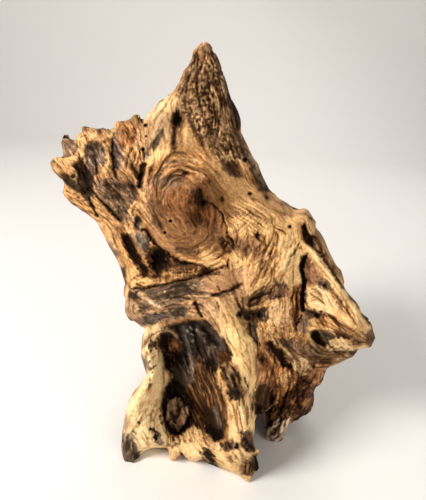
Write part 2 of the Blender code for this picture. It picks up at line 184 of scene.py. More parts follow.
# ------------------------------------------------------------- drawn outlines
BODY_OUTLINE = [
    (200, 44), (203, 42), (207, 42), (210, 44), (213, 48), (216, 54), (219, 60), (221, 66),
    (223, 72), (225, 78), (226.5, 82), (228, 88), (230, 94), (232, 100), (235, 105), (238, 111),
    (240, 117), (241, 122), (241, 132), (244, 138), (247, 144), (250, 151), (254, 159),
    (258, 163), (260, 170), (263, 177), (266, 183), (269, 189), (272, 192), (275, 194),
    (278, 198), (282, 200), (287, 203), (291, 206), (294, 209.5), (298, 209.5), (301, 209),
    (304, 208), (308, 210), (311, 214), (314, 219), (316, 222), (315, 226), (317, 229),
    (320, 232), (323, 237), (326, 243), (328, 249), (331, 255), (334, 261), (337, 266),
    (341, 270), (343, 276), (344.5, 282), (344, 287), (348, 293), (352, 297), (357, 302),
    (360, 307), (361, 312), (364, 315), (368, 318), (371, 323), (373, 328), (375, 332),
    (376.5, 336), (375.5, 341), (373, 344), (371, 347.5), (366, 348), (362, 349), (357, 350),
    (357, 352), (355, 354), (353, 357), (350, 358), (345, 360), (340, 363), (330, 367),
    (320, 372), (309, 377), (298, 384), (288, 393), (278, 402), (268, 410), (262, 414),
    (257, 415), (255, 420), (254.5, 430), (253.5, 440), (254, 446), (257, 448.5), (262, 451.5),
    (261, 453), (256, 452), (256, 456), (258, 462), (259, 468), (257, 471), (254, 473),
    (252, 478), (250, 482), (248, 484), (245, 482), (242, 478), (239, 475), (236, 474),
    (232, 473), (228, 471), (222, 469), (218, 469), (216, 467), (213, 465.5), (208, 464),
    (204, 461), (200, 459), (197, 462), (194, 463.5), (190, 461), (186, 458), (181, 455),
    (178, 458), (174, 462), (171, 460), (169, 456), (168, 448), (160, 448), (152, 448),
    (146, 451), (142, 454), (138, 459), (134, 463), (130, 466), (127, 466), (123, 462),
    (121, 456), (121, 448), (121, 440), (122, 432), (123.5, 424), (125, 416), (126, 409),
    (129, 401), (131, 396), (135, 390), (140, 385), (143, 380), (147, 375), (146.5, 373),
    (144, 368), (142.5, 362), (141, 355), (141, 348), (142, 340), (143, 334), (146, 328),
    (142, 327), (138, 324), (134, 321), (131, 321), (128, 318), (125, 313), (124.5, 308),
    (125, 303), (126, 299), (123.5, 295), (124, 288), (125, 283), (123, 277), (121, 270),
    (119, 264), (116, 259), (113, 253), (110, 248), (107, 242), (103, 234), (98, 224),
    (95, 220), (92, 218), (87, 214), (82, 211), (77, 207), (72, 204), (68, 200), (65, 197),
    (62.5, 193), (63, 190), (64, 185), (63, 181), (60, 178), (56, 174), (53, 171), (51, 167),
    (50, 163), (52, 160), (54, 156), (57, 155.5), (60, 157), (63, 157), (63, 151), (62, 146),
    (60, 141), (62, 139), (64, 135), (67, 133), (70, 135), (68.5, 138), (73, 140), (77, 140),
    (76, 136), (78, 133.5), (82, 133), (82, 130), (81, 125.5), (86, 126), (89, 125), (92, 127),
    (96, 128.5), (99, 127), (103, 128), (108, 129), (112, 130), (114, 127), (115.5, 123),
    (117.5, 120), (120, 121.5), (124, 121), (129, 120), (131, 118), (134, 115), (137, 114.5),
    (139.5, 115), (141, 119), (143, 123), (144.5, 122), (146, 118), (148, 113), (152, 110),
    (156, 105), (160, 100), (163, 98), (166, 99), (168, 95), (172, 92), (174, 88), (178, 84),
    (180, 80), (182, 75), (184, 70), (188, 66), (190, 62), (192, 58), (192.5, 54), (194, 50),
    (197, 47),
]

BODY_FRONT = [
    (203, 44, 262), (200, 70, 256), (215, 72, 261), (190, 82, 254), (205, 100, 253),
    (228, 102, 262), (185, 100, 250), (200, 125, 250), (220, 125, 254), (236, 122, 264),
    (225, 150, 249), (245, 152, 258), (210, 150, 245), (262, 184, 255), (250, 175, 249),
    (165, 105, 250), (155, 117, 249), (150, 135, 245), (163, 150, 240), (178, 120, 250),
    (180, 205, 224), (162, 190, 230), (150, 205, 235), (147, 232, 240), (166, 172, 235),
    (186, 165, 236), (205, 180, 231), (213, 205, 230), (226, 216, 235), (200, 240, 228),
    (175, 245, 230), (160, 242, 234), (190, 258, 234), (240, 200, 239), (260, 200, 245),
    (280, 212, 249), (298, 217, 253), (245, 225, 234), (265, 240, 232), (285, 240, 237),
    (235, 240, 234), (255, 265, 227), (276, 265, 228), (240, 280, 230), (255, 300, 230),
    (286, 285, 232), (270, 300, 230), (250, 316, 237), (286, 315, 231), (303, 280, 238),
    (310, 247, 244), (322, 262, 238), (335, 278, 234), (346, 293, 231), (357, 308, 229),
    (367, 332, 228), (315, 292, 236), (326, 310, 232), (320, 335, 235), (320, 240, 252),
    (340, 270, 246), (355, 300, 242), (372, 330, 238), (340, 352, 240), (320, 352, 245),
    (300, 352, 244), (298, 366, 251), (328, 364, 254), (275, 360, 238), (285, 384, 246),
    (266, 400, 250), (140, 300, 240), (165, 286, 233), (200, 285, 230), (215, 300, 227),
    (150, 325, 236), (180, 315, 228), (200, 320, 224), (225, 320, 221), (140, 270, 241),
    (170, 268, 232), (200, 264, 230), (240, 330, 218), (245, 360, 211), (240, 390, 207),
    (238, 420, 206), (235, 445, 207), (225, 465, 212), (150, 352, 232), (140, 402, 222),
    (150, 380, 222), (146, 430, 219), (160, 442, 222), (130, 442, 224), (175, 345, 242),
    (190, 340, 233), (188, 380, 235), (206, 350, 235), (172, 370, 249), (170, 392, 251),
    (181, 412, 246), (202, 392, 238), (211, 422, 240), (180, 428, 240), (196, 444, 225),
    (176, 447, 226), (56, 165, 252), (70, 150, 252), (76, 200, 250), (100, 150, 248),
    (120, 140, 250), (138, 128, 252), (100, 202, 248), (120, 180, 246), (135, 200, 246),
    (110, 230, 249), (124, 262, 250), (130, 220, 244), (141, 176, 251), (139, 242, 243),
    (152, 262, 246), (128, 290, 246), (128, 310, 245), (135, 320, 243), (260, 340, 226),
    (262, 380, 228), (255, 410, 214),
]

BODY_RIM = [
    (205, 43, 268, 6), (228, 90, 275, 8), (241, 120, 281, 10), (262, 175, 283, 10),
    (278, 198, 287, 10), (300, 209, 283, 11), (316, 222, 277, 8), (340, 270, 264, 6),
    (360, 305, 253, 5), (375, 335, 242, 4), (357, 351, 249, 5), (330, 367, 262, 6),
    (312, 374, 268, 7), (284, 396, 262, 8), (262, 413, 250, 7), (254, 430, 224, 5),
    (257, 460, 219, 5), (248, 484, 213, 4), (232, 473, 220, 4), (213, 465, 226, 4),
    (197, 462, 228, 4), (181, 455, 233, 4), (172, 461, 227, 4), (150, 448, 237, 5),
    (130, 466, 220, 4), (121, 448, 234, 5), (124, 424, 238, 8), (135, 390, 243, 10),
    (143, 360, 252, 10), (143, 328, 262, 10), (125, 306, 266, 10), (123, 284, 268, 11),
    (113, 253, 265, 7), (95, 220, 259, 4), (65, 197, 257, 3), (50, 163, 255, 3),
    (70, 135, 257, 2.5), (100, 127, 257, 3), (135, 115, 259, 4), (143, 123, 260, 4),
    (150, 110, 263, 5), (165, 97, 266, 6), (180, 80, 267, 6), (190, 60, 268, 5),
]

BODY_BACK = [
    (205, 60, 278), (213, 85, 288), (198, 95, 290), (215, 115, 298), (188, 120, 300),
    (232, 150, 312), (195, 150, 318), (160, 120, 276), (182, 200, 342), (155, 165, 300),
    (70, 160, 262), (100, 165, 268), (90, 200, 266), (120, 145, 270), (122, 200, 285),
    (120, 240, 290), (145, 210, 318), (270, 215, 335), (300, 228, 318), (235, 200, 346),
    (330, 268, 292), (350, 310, 270), (365, 332, 254), (340, 345, 268), (310, 350, 288),
    (140, 292, 306), (160, 270, 330), (185, 300, 350), (250, 290, 352), (292, 315, 322),
    (218, 250, 350), (150, 350, 300), (145, 400, 275), (190, 370, 345), (240, 370, 335),
    (280, 370, 305), (300, 372, 290), (230, 430, 300), (160, 430, 280), (255, 400, 300),
]

LEG_OUTLINE = [
    (292, 352), (318, 362), (326, 371), (324, 376), (323, 380), (320, 385), (316, 387),
    (314, 392), (314, 400), (313, 406), (311, 411), (306, 415), (302, 417), (298, 420),
    (294, 422), (291, 424), (289, 424), (287, 428), (286, 433), (284, 438), (281, 441),
    (275, 442.5), (270, 442), (267, 443.5), (265, 440), (265, 433), (265, 427), (267, 425),
    (265, 418), (262, 408), (256, 392), (262, 366),
]
LEG_FRONT = [
    (290, 362, 262), (315, 372, 262), (275, 385, 262), (300, 385, 252), (308, 402, 252),
    (288, 402, 252), (272, 410, 262), (296, 416, 254), (280, 428, 251), (271, 436, 250),
]
LEG_RIM = [
    (292, 352, 290, 8), (325, 372, 278, 9), (314, 400, 274, 9), (300, 419, 270, 8),
    (286, 433, 261, 5), (274, 442, 254, 4), (265, 436, 257, 5), (262, 408, 276, 7),
    (258, 380, 290, 8),
]
LEG_BACK = [
    (295, 365, 312), (315, 378, 292), (280, 385, 315), (300, 405, 290), (275, 410, 295),
    (280, 430, 276),
]

REAR_STUBS = [
    ("rear_root", [((-8, 300, 128), 34), ((-14, 318, 74), 31), ((-24, 331, 32), 24), ((-32, 338, -8), 19)]),
    ("rear_toe", [((36, 290, 118), 34), ((46, 304, 70), 30), ((54, 315, 32), 22), ((60, 322, -8), 17)]),
    ("back_snag", [((0, 306, 200), 34), ((-3, 326, 230), 20), ((-6, 331, 247), 11)]),
    ("side_rib", [((46, 292, 176), 22), ((70, 287, 156), 17), ((83, 277, 134), 12), ((87, 262, 118), 7)]),
]
FEET = [(41, 216, 0.7), (-54, 230, 1.0), (66, 256, 0.9), (-31, 338, 1.3), (60, 322, 1.2)]
UNDER_CLEARANCE = 16.0
FOOT_RADIUS = 17.0
BACK_SCULPT = [
    (16, 356, 196, 17, -10), (11, 358, 172, 18, -15), (4, 358, 147, 17, -14), (-2, 352, 122, 15, -9),
    (-34, 322, 190, 22, -9), (38, 345, 178, 20, 7), (-22, 346, 160, 16, 6),
    (-46, 300, 140, 22, 6), (70, 300, 150, 20, -6), (12, 340, 84, 20, -9),
    (-70, 268, 205, 22, -3), (20, 300, 262, 16, -4), (52, 318, 108, 18, -7),
]
FLUTE_HEIGHT = 5.5
FLUTE_WIDTH = 30.0
FLUTE_LENGTH = 5.0
FLUTE_TWIST = 0.0068


def along_grain(p, width):
    turn = FLUTE_TWIST * (p[:, 2] - 150)
    x, y = p[:, 0] - 5, p[:, 1] - 285
    return np.stack([
        (x * np.cos(turn) - y * np.sin(turn)) / width,
        (x * np.sin(turn) + y * np.cos(turn)) / width,
        p[:, 2] / (width * FLUTE_LENGTH),
    ], 1)


# ---------------------------------------------------------- the picture plane
W, H = PLANE_SIZE[0] * GRID, PLANE_SIZE[1] * GRID
UU, VV = np.meshgrid((np.arange(W) + 0.5) / GRID, (np.arange(H) + 0.5) / GRID)


def blur(a, sigma):
    """Gaussian blur; sigma in plane units."""
    s = sigma * GRID
    fy = np.fft.fftfreq(a.shape[0])[:, None]
    fx = np.fft.rfftfreq(a.shape[1])[None]
    return np.fft.irfft2(np.fft.rfft2(a) * np.exp(-2 * (np.pi * s) ** 2 * (fx**2 + fy**2)), a.shape)


def grain_noise(sigma, seed):
    n = blur(np.random.RandomState(seed).randn(H, W), sigma)
    return n / n.std()


def sample(grid, u, v):
    """Bilinear reading of a grid at (u, v)."""
    x = np.clip(u * GRID - 0.5, 0, W - 1.001)
    y = np.clip(v * GRID - 0.5, 0, H - 1.001)
    x0, y0 = x.astype(int), y.astype(int)
    fx, fy = x - x0, y - y0
    if grid.ndim == 3:
        fx, fy = fx[:, None], fy[:, None]
    return (
        grid[y0, x0] * (1 - fx) * (1 - fy)
        + grid[y0, x0 + 1] * fx * (1 - fy)
        + grid[y0 + 1, x0] * (1 - fx) * fy
        + grid[y0 + 1, x0 + 1] * fx * fy
    )


def coarse_to_grid(function, step=2):
    us = np.arange(0, PLANE_SIZE[0] + step, step, dtype=float)
    vs = np.arange(0, PLANE_SIZE[1] + step, step, dtype=float)
    uu, vv = np.meshgrid(us, vs)
    coarse = function(uu.ravel(), vv.ravel()).reshape(uu.shape)
    rows = np.empty((len(vs), W))
    for i in range(len(vs)):
        rows[i] = np.interp(UU[0], us, coarse[i])
    out = np.empty((H, W))
    at = VV[:, 0]
    low = np.clip((at / step).astype(int), 0, len(vs) - 2)
    f = (at / step - low)[:, None]
    out[:] = rows[low] * (1 - f) + rows[low + 1] * f
    return out


# wobble that makes every drawn stroke irregular
WOBBLE_U = 0.25 * grain_noise(4.0, 21) + 0.38 * grain_noise(1.3, 22) + 0.3 * grain_noise(0.6, 25)
WOBBLE_V = 0.25 * grain_noise(4.0, 23) + 0.38 * grain_noise(1.3, 24) + 0.3 * grain_noise(0.6, 26)


def smooth_line(points, step=2.0):
    """A rounded line through points, with any further columns carried along."""
    p = np.array(points, float)
    if len(p) < 3:
        n = max(2, int(np.hypot(*(p[-1, :2] - p[0, :2])) / step) + 1)
        t = np.linspace(0, 1, n)[:, None]
        return p[0] * (1 - t) + p[-1] * t
    q = np.vstack([2 * p[0] - p[1], p, 2 * p[-1] - p[-2]])
    out = []
    for i in range(1, len(q) - 2):
        a, b, c, d = q[i - 1], q[i], q[i + 1], q[i + 2]
        n = max(1, int(np.hypot(*(c[:2] - b[:2])) / step))
        for t in np.arange(n) / n:
            out.append(
                0.5 * (2 * b + (c - a) * t + (2 * a - 5 * b + 4 * c - d) * t**2 + (3 * b - a - 3 * c + d) * t**3)
            )
    out.append(p[-1])
    return np.array(out)


def around(low_u, low_v, high_u, high_v):
    return (
        slice(max(0, int(low_v * GRID)), min(H, int(high_v * GRID) + 1)),
        slice(max(0, int(low_u * GRID)), min(W, int(high_u * GRID) + 1)),
    )


def line_field(points, reach, wobble=1.0):
    """Where a line is near: the grid window, the distance from it, its side
    (+1 to the right of its direction as seen on the plane), and the share along."""
    line = smooth_line(points)
    margin = reach + 4
    win = around(line[:, 0].min() - margin, line[:, 1].min() - margin, line[:, 0].max() + margin, line[:, 1].max() + margin)
    u = UU[win] + wobble * WOBBLE_U[win]
    v = VV[win] + wobble * WOBBLE_V[win]
    best = np.full(u.shape, 1e9)
    side = np.ones(u.shape)
    share = np.zeros(u.shape)
    lengths = np.hypot(np.diff(line[:, 0]), np.diff(line[:, 1]))
    total = max(lengths.sum(), 1e-6)
    done = 0.0
    for (a, b), (c, d), length in zip(line[:-1, :2], line[1:, :2], lengths):
        du, dv = c - a, d - b
        if length > 1e-9:
            t = np.clip(((u - a) * du + (v - b) * dv) / (length * length), 0, 1)
            ru, rv = u - a - t * du, v - b - t * dv
            sq = ru * ru + rv * rv
            nearer = sq < best
            best = np.where(nearer, sq, best)
            side = np.where(nearer, np.sign(du * rv - dv * ru), side)
            share = np.where(nearer, (done + t * length) / total, share)
        done += length
    return win, np.sqrt(best), side, share


def taper(share, ends):
    """1 along the line, falling to 0 over the given share at each end."""
    if ends <= 0:
        return 1.0
    return smoothstep(0, ends, share) * smoothstep(0, ends, 1 - share)


PROFILES = {
    "round": lambda x: np.exp(-2.2 * x * x),
    "flat": lambda x: 1 - smoothstep(0.55, 1.25, x),
    "sharp": lambda x: np.clip(1 - x, 0, 1) ** 1.2,
}

# palette (display values 0..1): the wood's own colours
def rgb(r, g, b):
    return np.array((r, g, b), float) / 255.0


CREAM = rgb(243, 208, 150)
PALE = rgb(226, 182, 126)
GOLD = rgb(214, 160, 98)
TAN = rgb(192, 138, 84)
RUST = rgb(166, 100, 52)
PINK = rgb(190, 134, 92)
BROWN = rgb(138, 90, 52)
UMBER = rgb(96, 60, 34)
DARK = rgb(58, 36, 22)
CHAR = rgb(24, 17, 13)
BLACK = rgb(9, 6, 5)
GREY = rgb(120, 106, 94)
SLATE = rgb(84, 78, 78)
SILVER = rgb(160, 144, 124)

DEPTH = coarse_to_grid(surface_through(BODY_FRONT))
COLOUR = np.empty((H, W, 3))
COLOUR[:] = GOLD
ROUGH = np.full((H, W), 0.55)          # how coarse the fibres stand, 0..1
GLOSS = np.zeros((H, W))               # 0 dry, 1 polished or charred sheen


def colour_in(win, colour, amount):
    COLOUR[win] += (colour - COLOUR[win]) * np.clip(amount, 0, 1)[..., None]


def stroke(points, width, depth=0.0, colour=None, opacity=1.0, profile="round", ends=0.15, wobble=1.0, spread=1.0):
    """A groove (depth > 0) or a ridge (depth < 0) along a line, with its colour."""
    win, d, side, share = line_field(points, width * 2.2, wobble)
    t = taper(share, ends)
    w = width * (0.45 + 0.55 * t)
    DEPTH[win] += depth * PROFILES[profile](d / w) * t
    if colour is not None:
        ragged = np.clip(1 + 0.28 * LONG[win], 0.4, 1.9)
        colour_in(win, colour, opacity * PROFILES["flat" if profile == "flat" else "round"](d * ragged / (w * spread)) * t)


def ledge(points, height, fall, colour=None, opacity=0.8, ends=0.15, wobble=1.0):
    """The left of the line stands proud by height, falling away from it; the foot of the step is darkened with a thin
    line of painted shade."""
    win, d, side, share = line_field(points, fall * 3, wobble)
    t = taper(share, ends)
    raised = np.exp(-d / fall) * smoothstep(-0.8, 0.8, -side * d)
    DEPTH[win] -= height * raised * t
    if colour is not None:
        # painted shade: a thin dark line along the foot of the step
        colour_in(win, colour, opacity * t * np.exp(-((np.maximum(side * d, 0) / 1.3) ** 2)) * (side * d > -0.8))


def patch(u, v, ru, rv, angle=0.0, depth=0.0, colour=None, opacity=1.0, soft=0.5, wobble=1.5):
    """An oval hollow (depth > 0) or swelling, with its colour."""
    reach = max(ru, rv) * 1.8 + 5
    win = around(u - reach, v - reach, u + reach, v + reach)
    x = UU[win] + wobble * WOBBLE_U[win] - u
    y = VV[win] + wobble * WOBBLE_V[win] - v
    c, s = math.cos(math.radians(angle)), math.sin(math.radians(angle))
    r = np.hypot((x * c + y * s) / ru, (-x * s + y * c) / rv)
    DEPTH[win] += depth * (1 - smoothstep(0.15, 1.15, r))
    if colour is not None:
        colour_in(win, colour, opacity * (1 - smoothstep(1 - soft, 1 + soft * 0.6, r + 0.16 * np.clip(LONG[win], -2, 2))))


def area(points, colour=None, opacity=1.0, soft=4.0, depth=0.0, wobble=2.0, rough=None, gloss=None):
    """A filled region with a soft edge."""
    pts = smooth_line(list(points) + [points[0]], 4.0)[:-1]
    win = around(pts[:, 0].min() - soft * 2, pts[:, 1].min() - soft * 2, pts[:, 0].max() + soft * 2, pts[:, 1].max() + soft * 2)
    u = (UU[win] + wobble * WOBBLE_U[win]).ravel()
    v = (VV[win] + wobble * WOBBLE_V[win]).ravel()
    d = distance_to_outline(u, v, pts)
    d = np.where(inside_outline(u, v, pts), d, -d).reshape(UU[win].shape)
    m = smoothstep(-soft * 0.5, soft * 0.5, d)
    if colour is not None:
        fibrous = d + min(2.2, 0.4 + 0.42 * soft) * np.clip(LONG[win], -2.2, 2.2)
        colour_in(win, colour, opacity * smoothstep(-soft * 0.6, soft * 0.6, fibrous))
    DEPTH[win] += depth * m
    if rough is not None:
        ROUGH[win] += (rough - ROUGH[win]) * m
    if gloss is not None:
        GLOSS[win] += (gloss - GLOSS[win]) * m


HOLES = []


def hole(u, v, r=1.3, depth=4.0):
    """A borer hole."""
    HOLES.append((u, v, r, depth))


# -------------------------------------------------------------- grain flow
FLOW_LINES = [
    # spike
    [(204, 46), (200, 70), (192, 100), (184, 125)], [(205, 46), (208, 80), (212, 120), (220, 160)],
    [(207, 46), (218, 80), (230, 115), (242, 150), (258, 180)], [(188, 70), (172, 98), (158, 118), (150, 140), (146, 170)],
    [(182, 80), (176, 110), (172, 140)],
    # fan
    [(138, 246), (112, 214), (84, 192), (58, 168)], [(140, 236), (112, 190), (88, 158), (72, 140)],
    [(142, 226), (120, 180), (100, 140), (92, 128)], [(143, 214), (130, 165), (118, 124)],
    [(145, 200), (141, 155), (138, 118)], [(136, 262), (116, 236), (96, 214), (70, 202)],
    # left flank below the fan
    [(118, 250), (126, 275), (127, 300)], [(128, 240), (140, 262), (152, 280)], [(134, 232), (142, 252), (160, 262)],
    # middle of the knot
    [(168, 190), (172, 210), (184, 232)], [(184, 186), (186, 208), (198, 232)], [(200, 186), (203, 210), (212, 236)],
    # shoulder
    [(212, 150), (236, 182), (262, 200), (300, 214)], [(222, 190), (246, 206), (270, 224), (286, 232)],
    [(228, 205), (244, 222), (262, 236)], [(215, 232), (232, 244), (246, 262)],
    # wavy centre
    [(272, 220), (270, 246), (258, 280), (247, 306)], [(292, 232), (286, 262), (270, 292), (260, 318)],
    [(244, 226), (240, 256), (242, 290), (246, 306)], [(300, 240), (296, 262), (292, 290), (284, 320)],
    # wedge
    [(303, 243), (322, 262), (346, 293), (367, 332)], [(306, 262), (318, 290), (336, 318), (362, 336)],
    [(304, 290), (306, 320), (300, 345)], [(302, 330), (330, 342), (366, 346)], [(314, 222), (334, 258), (352, 296), (370, 326)],
    [(310, 300), (326, 326), (340, 344)],
    # under the wedge and the leg
    [(284, 346), (308, 360), (336, 362)], [(262, 320), (272, 345), (290, 362)], [(312, 370), (304, 395), (288, 420), (276, 441)],
    [(288, 372), (290, 395), (282, 420)], [(262, 345), (268, 375), (264, 405)], [(285, 345), (290, 380)],
    [(275, 345), (276, 380)],
    # waist
    [(132, 300), (165, 288), (200, 282), (226, 288)], [(128, 312), (160, 304), (190, 304), (210, 318), (224, 345)],
    [(226, 298), (240, 335), (246, 380), (244, 440)], [(212, 320), (226, 360), (232, 400), (232, 440)],
    [(254, 316), (256, 350), (256, 400)], [(128, 284), (150, 276), (176, 272), (212, 266)],
    [(150, 262), (176, 268), (206, 264)],
    # hollow
    [(180, 324), (190, 350), (197, 380), (214, 408)], [(166, 330), (168, 360), (166, 395), (178, 430)],
    [(200, 340), (208, 370), (218, 400), (218, 440)],
    # left column and lobe
    [(146, 330), (151, 358), (142, 398), (130, 436), (127, 462)], [(160, 376), (152, 415), (158, 446)],
    [(170, 448), (172, 460)], [(208, 448), (230, 462), (250, 478)], [(186, 440), (196, 452), (204, 460)],
    [(236, 446), (246, 464), (250, 480)],
]


def flow_field():
    """Double-angle direction of the grain over the plane."""
    places, doubled = [], []
    for line in FLOW_LINES:
        pts = smooth_line(line, 5.0)
        delta = np.diff(pts[:, :2], axis=0)
        angle = np.arctan2(delta[:, 1], delta[:, 0])
        places.append((pts[:-1, :2] + pts[1:, :2]) / 2)
        doubled.append(np.stack([np.cos(2 * angle), np.sin(2 * angle)], 1))
    # rings round the knot, open on the right where the grain runs into the shoulder
    for ring in (0.62, 0.8, 1.0):
        t = np.radians(np.arange(20, 320, 14))
        ru, rv = 38 * ring, 46 * ring
        places.append(np.stack([184 + ru * np.cos(t), 207 + rv * np.sin(t)], 1))
        angle = np.arctan2(rv * np.cos(t), -ru * np.sin(t))
        doubled.append(np.stack([np.cos(2 * angle), np.sin(2 * angle)], 1))
    places, doubled = np.vstack(places), np.vstack(doubled)

    def component(k):
        def at(u, v):
            out = np.empty(len(u))
            for s in range(0, len(u), 20000):
                sq = (u[s : s + 20000, None] - places[:, 0]) ** 2 + (v[s : s + 20000, None] - places[:, 1]) ** 2 + 6.0
                w = sq**-1.7
                out[s : s + 20000] = w @ doubled[:, k] / w.sum(1)
            return out

        return at

    c = coarse_to_grid(component(0), 3)
    s = coarse_to_grid(component(1), 3)
    # the grain wavers
    angle = 0.5 * np.arctan2(s, c) + 0.13 * grain_noise(9.0, 31) + 0.13 * grain_noise(4.0, 32) + 0.11 * grain_noise(1.9, 33)
    return angle


def streaks(source, angle, steps):
    """The source smeared along the grain."""
    cu, cv = np.cos(angle).astype(np.float32), np.sin(angle).astype(np.float32)
    total = source.astype(np.float32).copy()
    rows, cols = np.meshgrid(np.arange(H, dtype=np.float32), np.arange(W, dtype=np.float32), indexing="ij")
    src = source.astype(np.float32)
    weight_sum = 1.0
    for sign in (1.0, -1.0):
        x, y = cols.copy(), rows.copy()
        du, dv = sign * cu, sign * cv
        for i in range(steps):
            x += du
            y += dv
            xi = np.clip(x, 0, W - 1).astype(np.int32)
            yi = np.clip(y, 0, H - 1).astype(np.int32)
            nu, nv = cu[yi, xi], cv[yi, xi]
            flip = np.where(nu * du + nv * dv < 0, -1.0, 1.0).astype(np.float32)
            du, dv = nu * flip, nv * flip
            w = 0.5 + 0.5 * math.cos(math.pi * (i + 1) / (steps + 1))
            total += w * src[yi, xi]
            if sign > 0:
                weight_sum += 2 * w
    total = total - total.mean()
    return (total / total.std()).astype(float)


ANGLE = flow_field()
FINE = streaks(grain_noise(0.4, 41), ANGLE, 6)
MEDIUM = streaks(grain_noise(0.75, 42), ANGLE, 12)
COARSE = streaks(grain_noise(2.0, 43), ANGLE, 30)

LONG = streaks(grain_noise(0.5, 50), ANGLE, 34)
CHIPS = streaks(grain_noise(0.8, 44), ANGLE, 7)
PEBBLE = grain_noise(1.0, 45)
MOTTLE = streaks(grain_noise(3.2, 46), ANGLE, 12)


# ------------------------------------------------------------------ strokes
def line(points, width=1.0, colour=UMBER, opacity=0.8, depth=0.7, **more):
    """A thin crack or dark fibre."""
    stroke(points, width, depth, colour, opacity, wobble=0.5, **more)


def lines(bundle, width=1.0, colour=UMBER, opacity=0.8, depth=0.7, **more):
    for points in bundle:
        line(points, width, colour, opacity, depth, **more)


def ridge(points, width, height, colour=PALE, opacity=0.8, **more):
    stroke(points, width, -height, colour, opacity, **more)


def wash(points, colour, opacity=0.8, soft=5.0, **more):
    area(points, colour, opacity, soft, **more)


def spot(u, v, ru, rv, colour=DARK, opacity=0.8, depth=0.0, angle=0.0, **more):
    patch(u, v, ru, rv, angle, depth, colour, opacity, **more)


def chips(points, colour, level=0.0, opacity=0.9, source=None, soft=4.0, height=0.0, edge=0.3):
    """Specks of one colour all over a region; a higher level leaves fewer."""
    field = CHIPS if source is None else source
    pts = smooth_line(list(points) + [points[0]], 4.0)[:-1]
    win = around(pts[:, 0].min() - soft, pts[:, 1].min() - soft, pts[:, 0].max() + soft, pts[:, 1].max() + soft)
    u = (UU[win] + 2.0 * WOBBLE_U[win]).ravel()
    v = (VV[win] + 2.0 * WOBBLE_V[win]).ravel()
    d = distance_to_outline(u, v, pts)
    d = np.where(inside_outline(u, v, pts), d, -d).reshape(UU[win].shape)
    m = smoothstep(-soft * 0.5, soft * 0.5, d) * smoothstep(level - edge, level + edge, field[win])
    DEPTH[win] -= height * m
    colour_in(win, colour, opacity * m)


def grounds():
    """The broad colour of each region, before any detail."""
    wash([(44, 165), (60, 132), (84, 120), (112, 124), (138, 110), (147, 124), (148, 200), (138, 262), (118, 268), (96, 236), (56, 190)], rgb(196, 150, 100), 1.0, 6, rough=0.75)
    wash([(146, 128), (150, 106), (168, 92), (182, 72), (186, 96), (190, 124), (200, 150), (160, 158), (146, 168)], rgb(204, 164, 118), 1.0, 6, rough=0.35)
    wash([(147, 162), (168, 148), (196, 148), (216, 164), (228, 190), (234, 220), (230, 250), (204, 266), (170, 256), (148, 232), (141, 200)], rgb(176, 126, 78), 1.0, 8, rough=0.6)
    wash([(208, 150), (236, 176), (262, 186), (280, 196), (312, 206), (318, 232), (300, 240), (262, 236), (236, 226), (224, 196), (210, 172)], rgb(206, 158, 106), 1.0, 8, rough=0.25)
    wash([(232, 216), (300, 232), (304, 262), (300, 320), (262, 324), (232, 300), (228, 256)], rgb(226, 178, 118), 1.0, 6, rough=0.55)
    wash([(300, 238), (322, 256), (350, 292), (378, 332), (366, 350), (330, 352), (302, 330), (302, 284)], rgb(220, 172, 116), 1.0, 5, rough=0.4)
    wash([(122, 288), (160, 282), (206, 270), (244, 270), (244, 300), (214, 340), (196, 326), (150, 328), (120, 322)], rgb(168, 130, 92), 1.0, 6, rough=0.4)
    wash([(120, 236), (142, 240), (160, 262), (210, 266), (206, 280), (150, 288), (124, 290), (116, 262)], rgb(206, 154, 96), 1.0, 5, rough=0.6)
    wash([(138, 330), (166, 326), (166, 372), (172, 440), (170, 456), (140, 466), (116, 460), (122, 410), (144, 376)], rgb(255, 226, 172), 1.0, 4, rough=0.2)
    wash([(214, 300), (240, 306), (262, 340), (262, 400), (258, 450), (258, 484), (216, 472), (196, 466), (166, 462), (168, 440), (226, 440), (222, 360)], rgb(246, 206, 150), 1.0, 4, rough=0.32)
    wash([(256, 340), (300, 340), (360, 346), (346, 362), (300, 380), (284, 398), (268, 412), (254, 412)], rgb(124, 92, 60), 1.0, 4, rough=0.8)
    wash([(262, 330), (290, 328), (300, 345), (286, 350), (262, 348)], rgb(206, 156, 100), 1.0, 6, rough=0.8)
    wash([(258, 386), (300, 366), (330, 362), (330, 386), (314, 420), (286, 446), (262, 446), (268, 414)], rgb(96, 64, 40), 1.0, 3, rough=0.8)


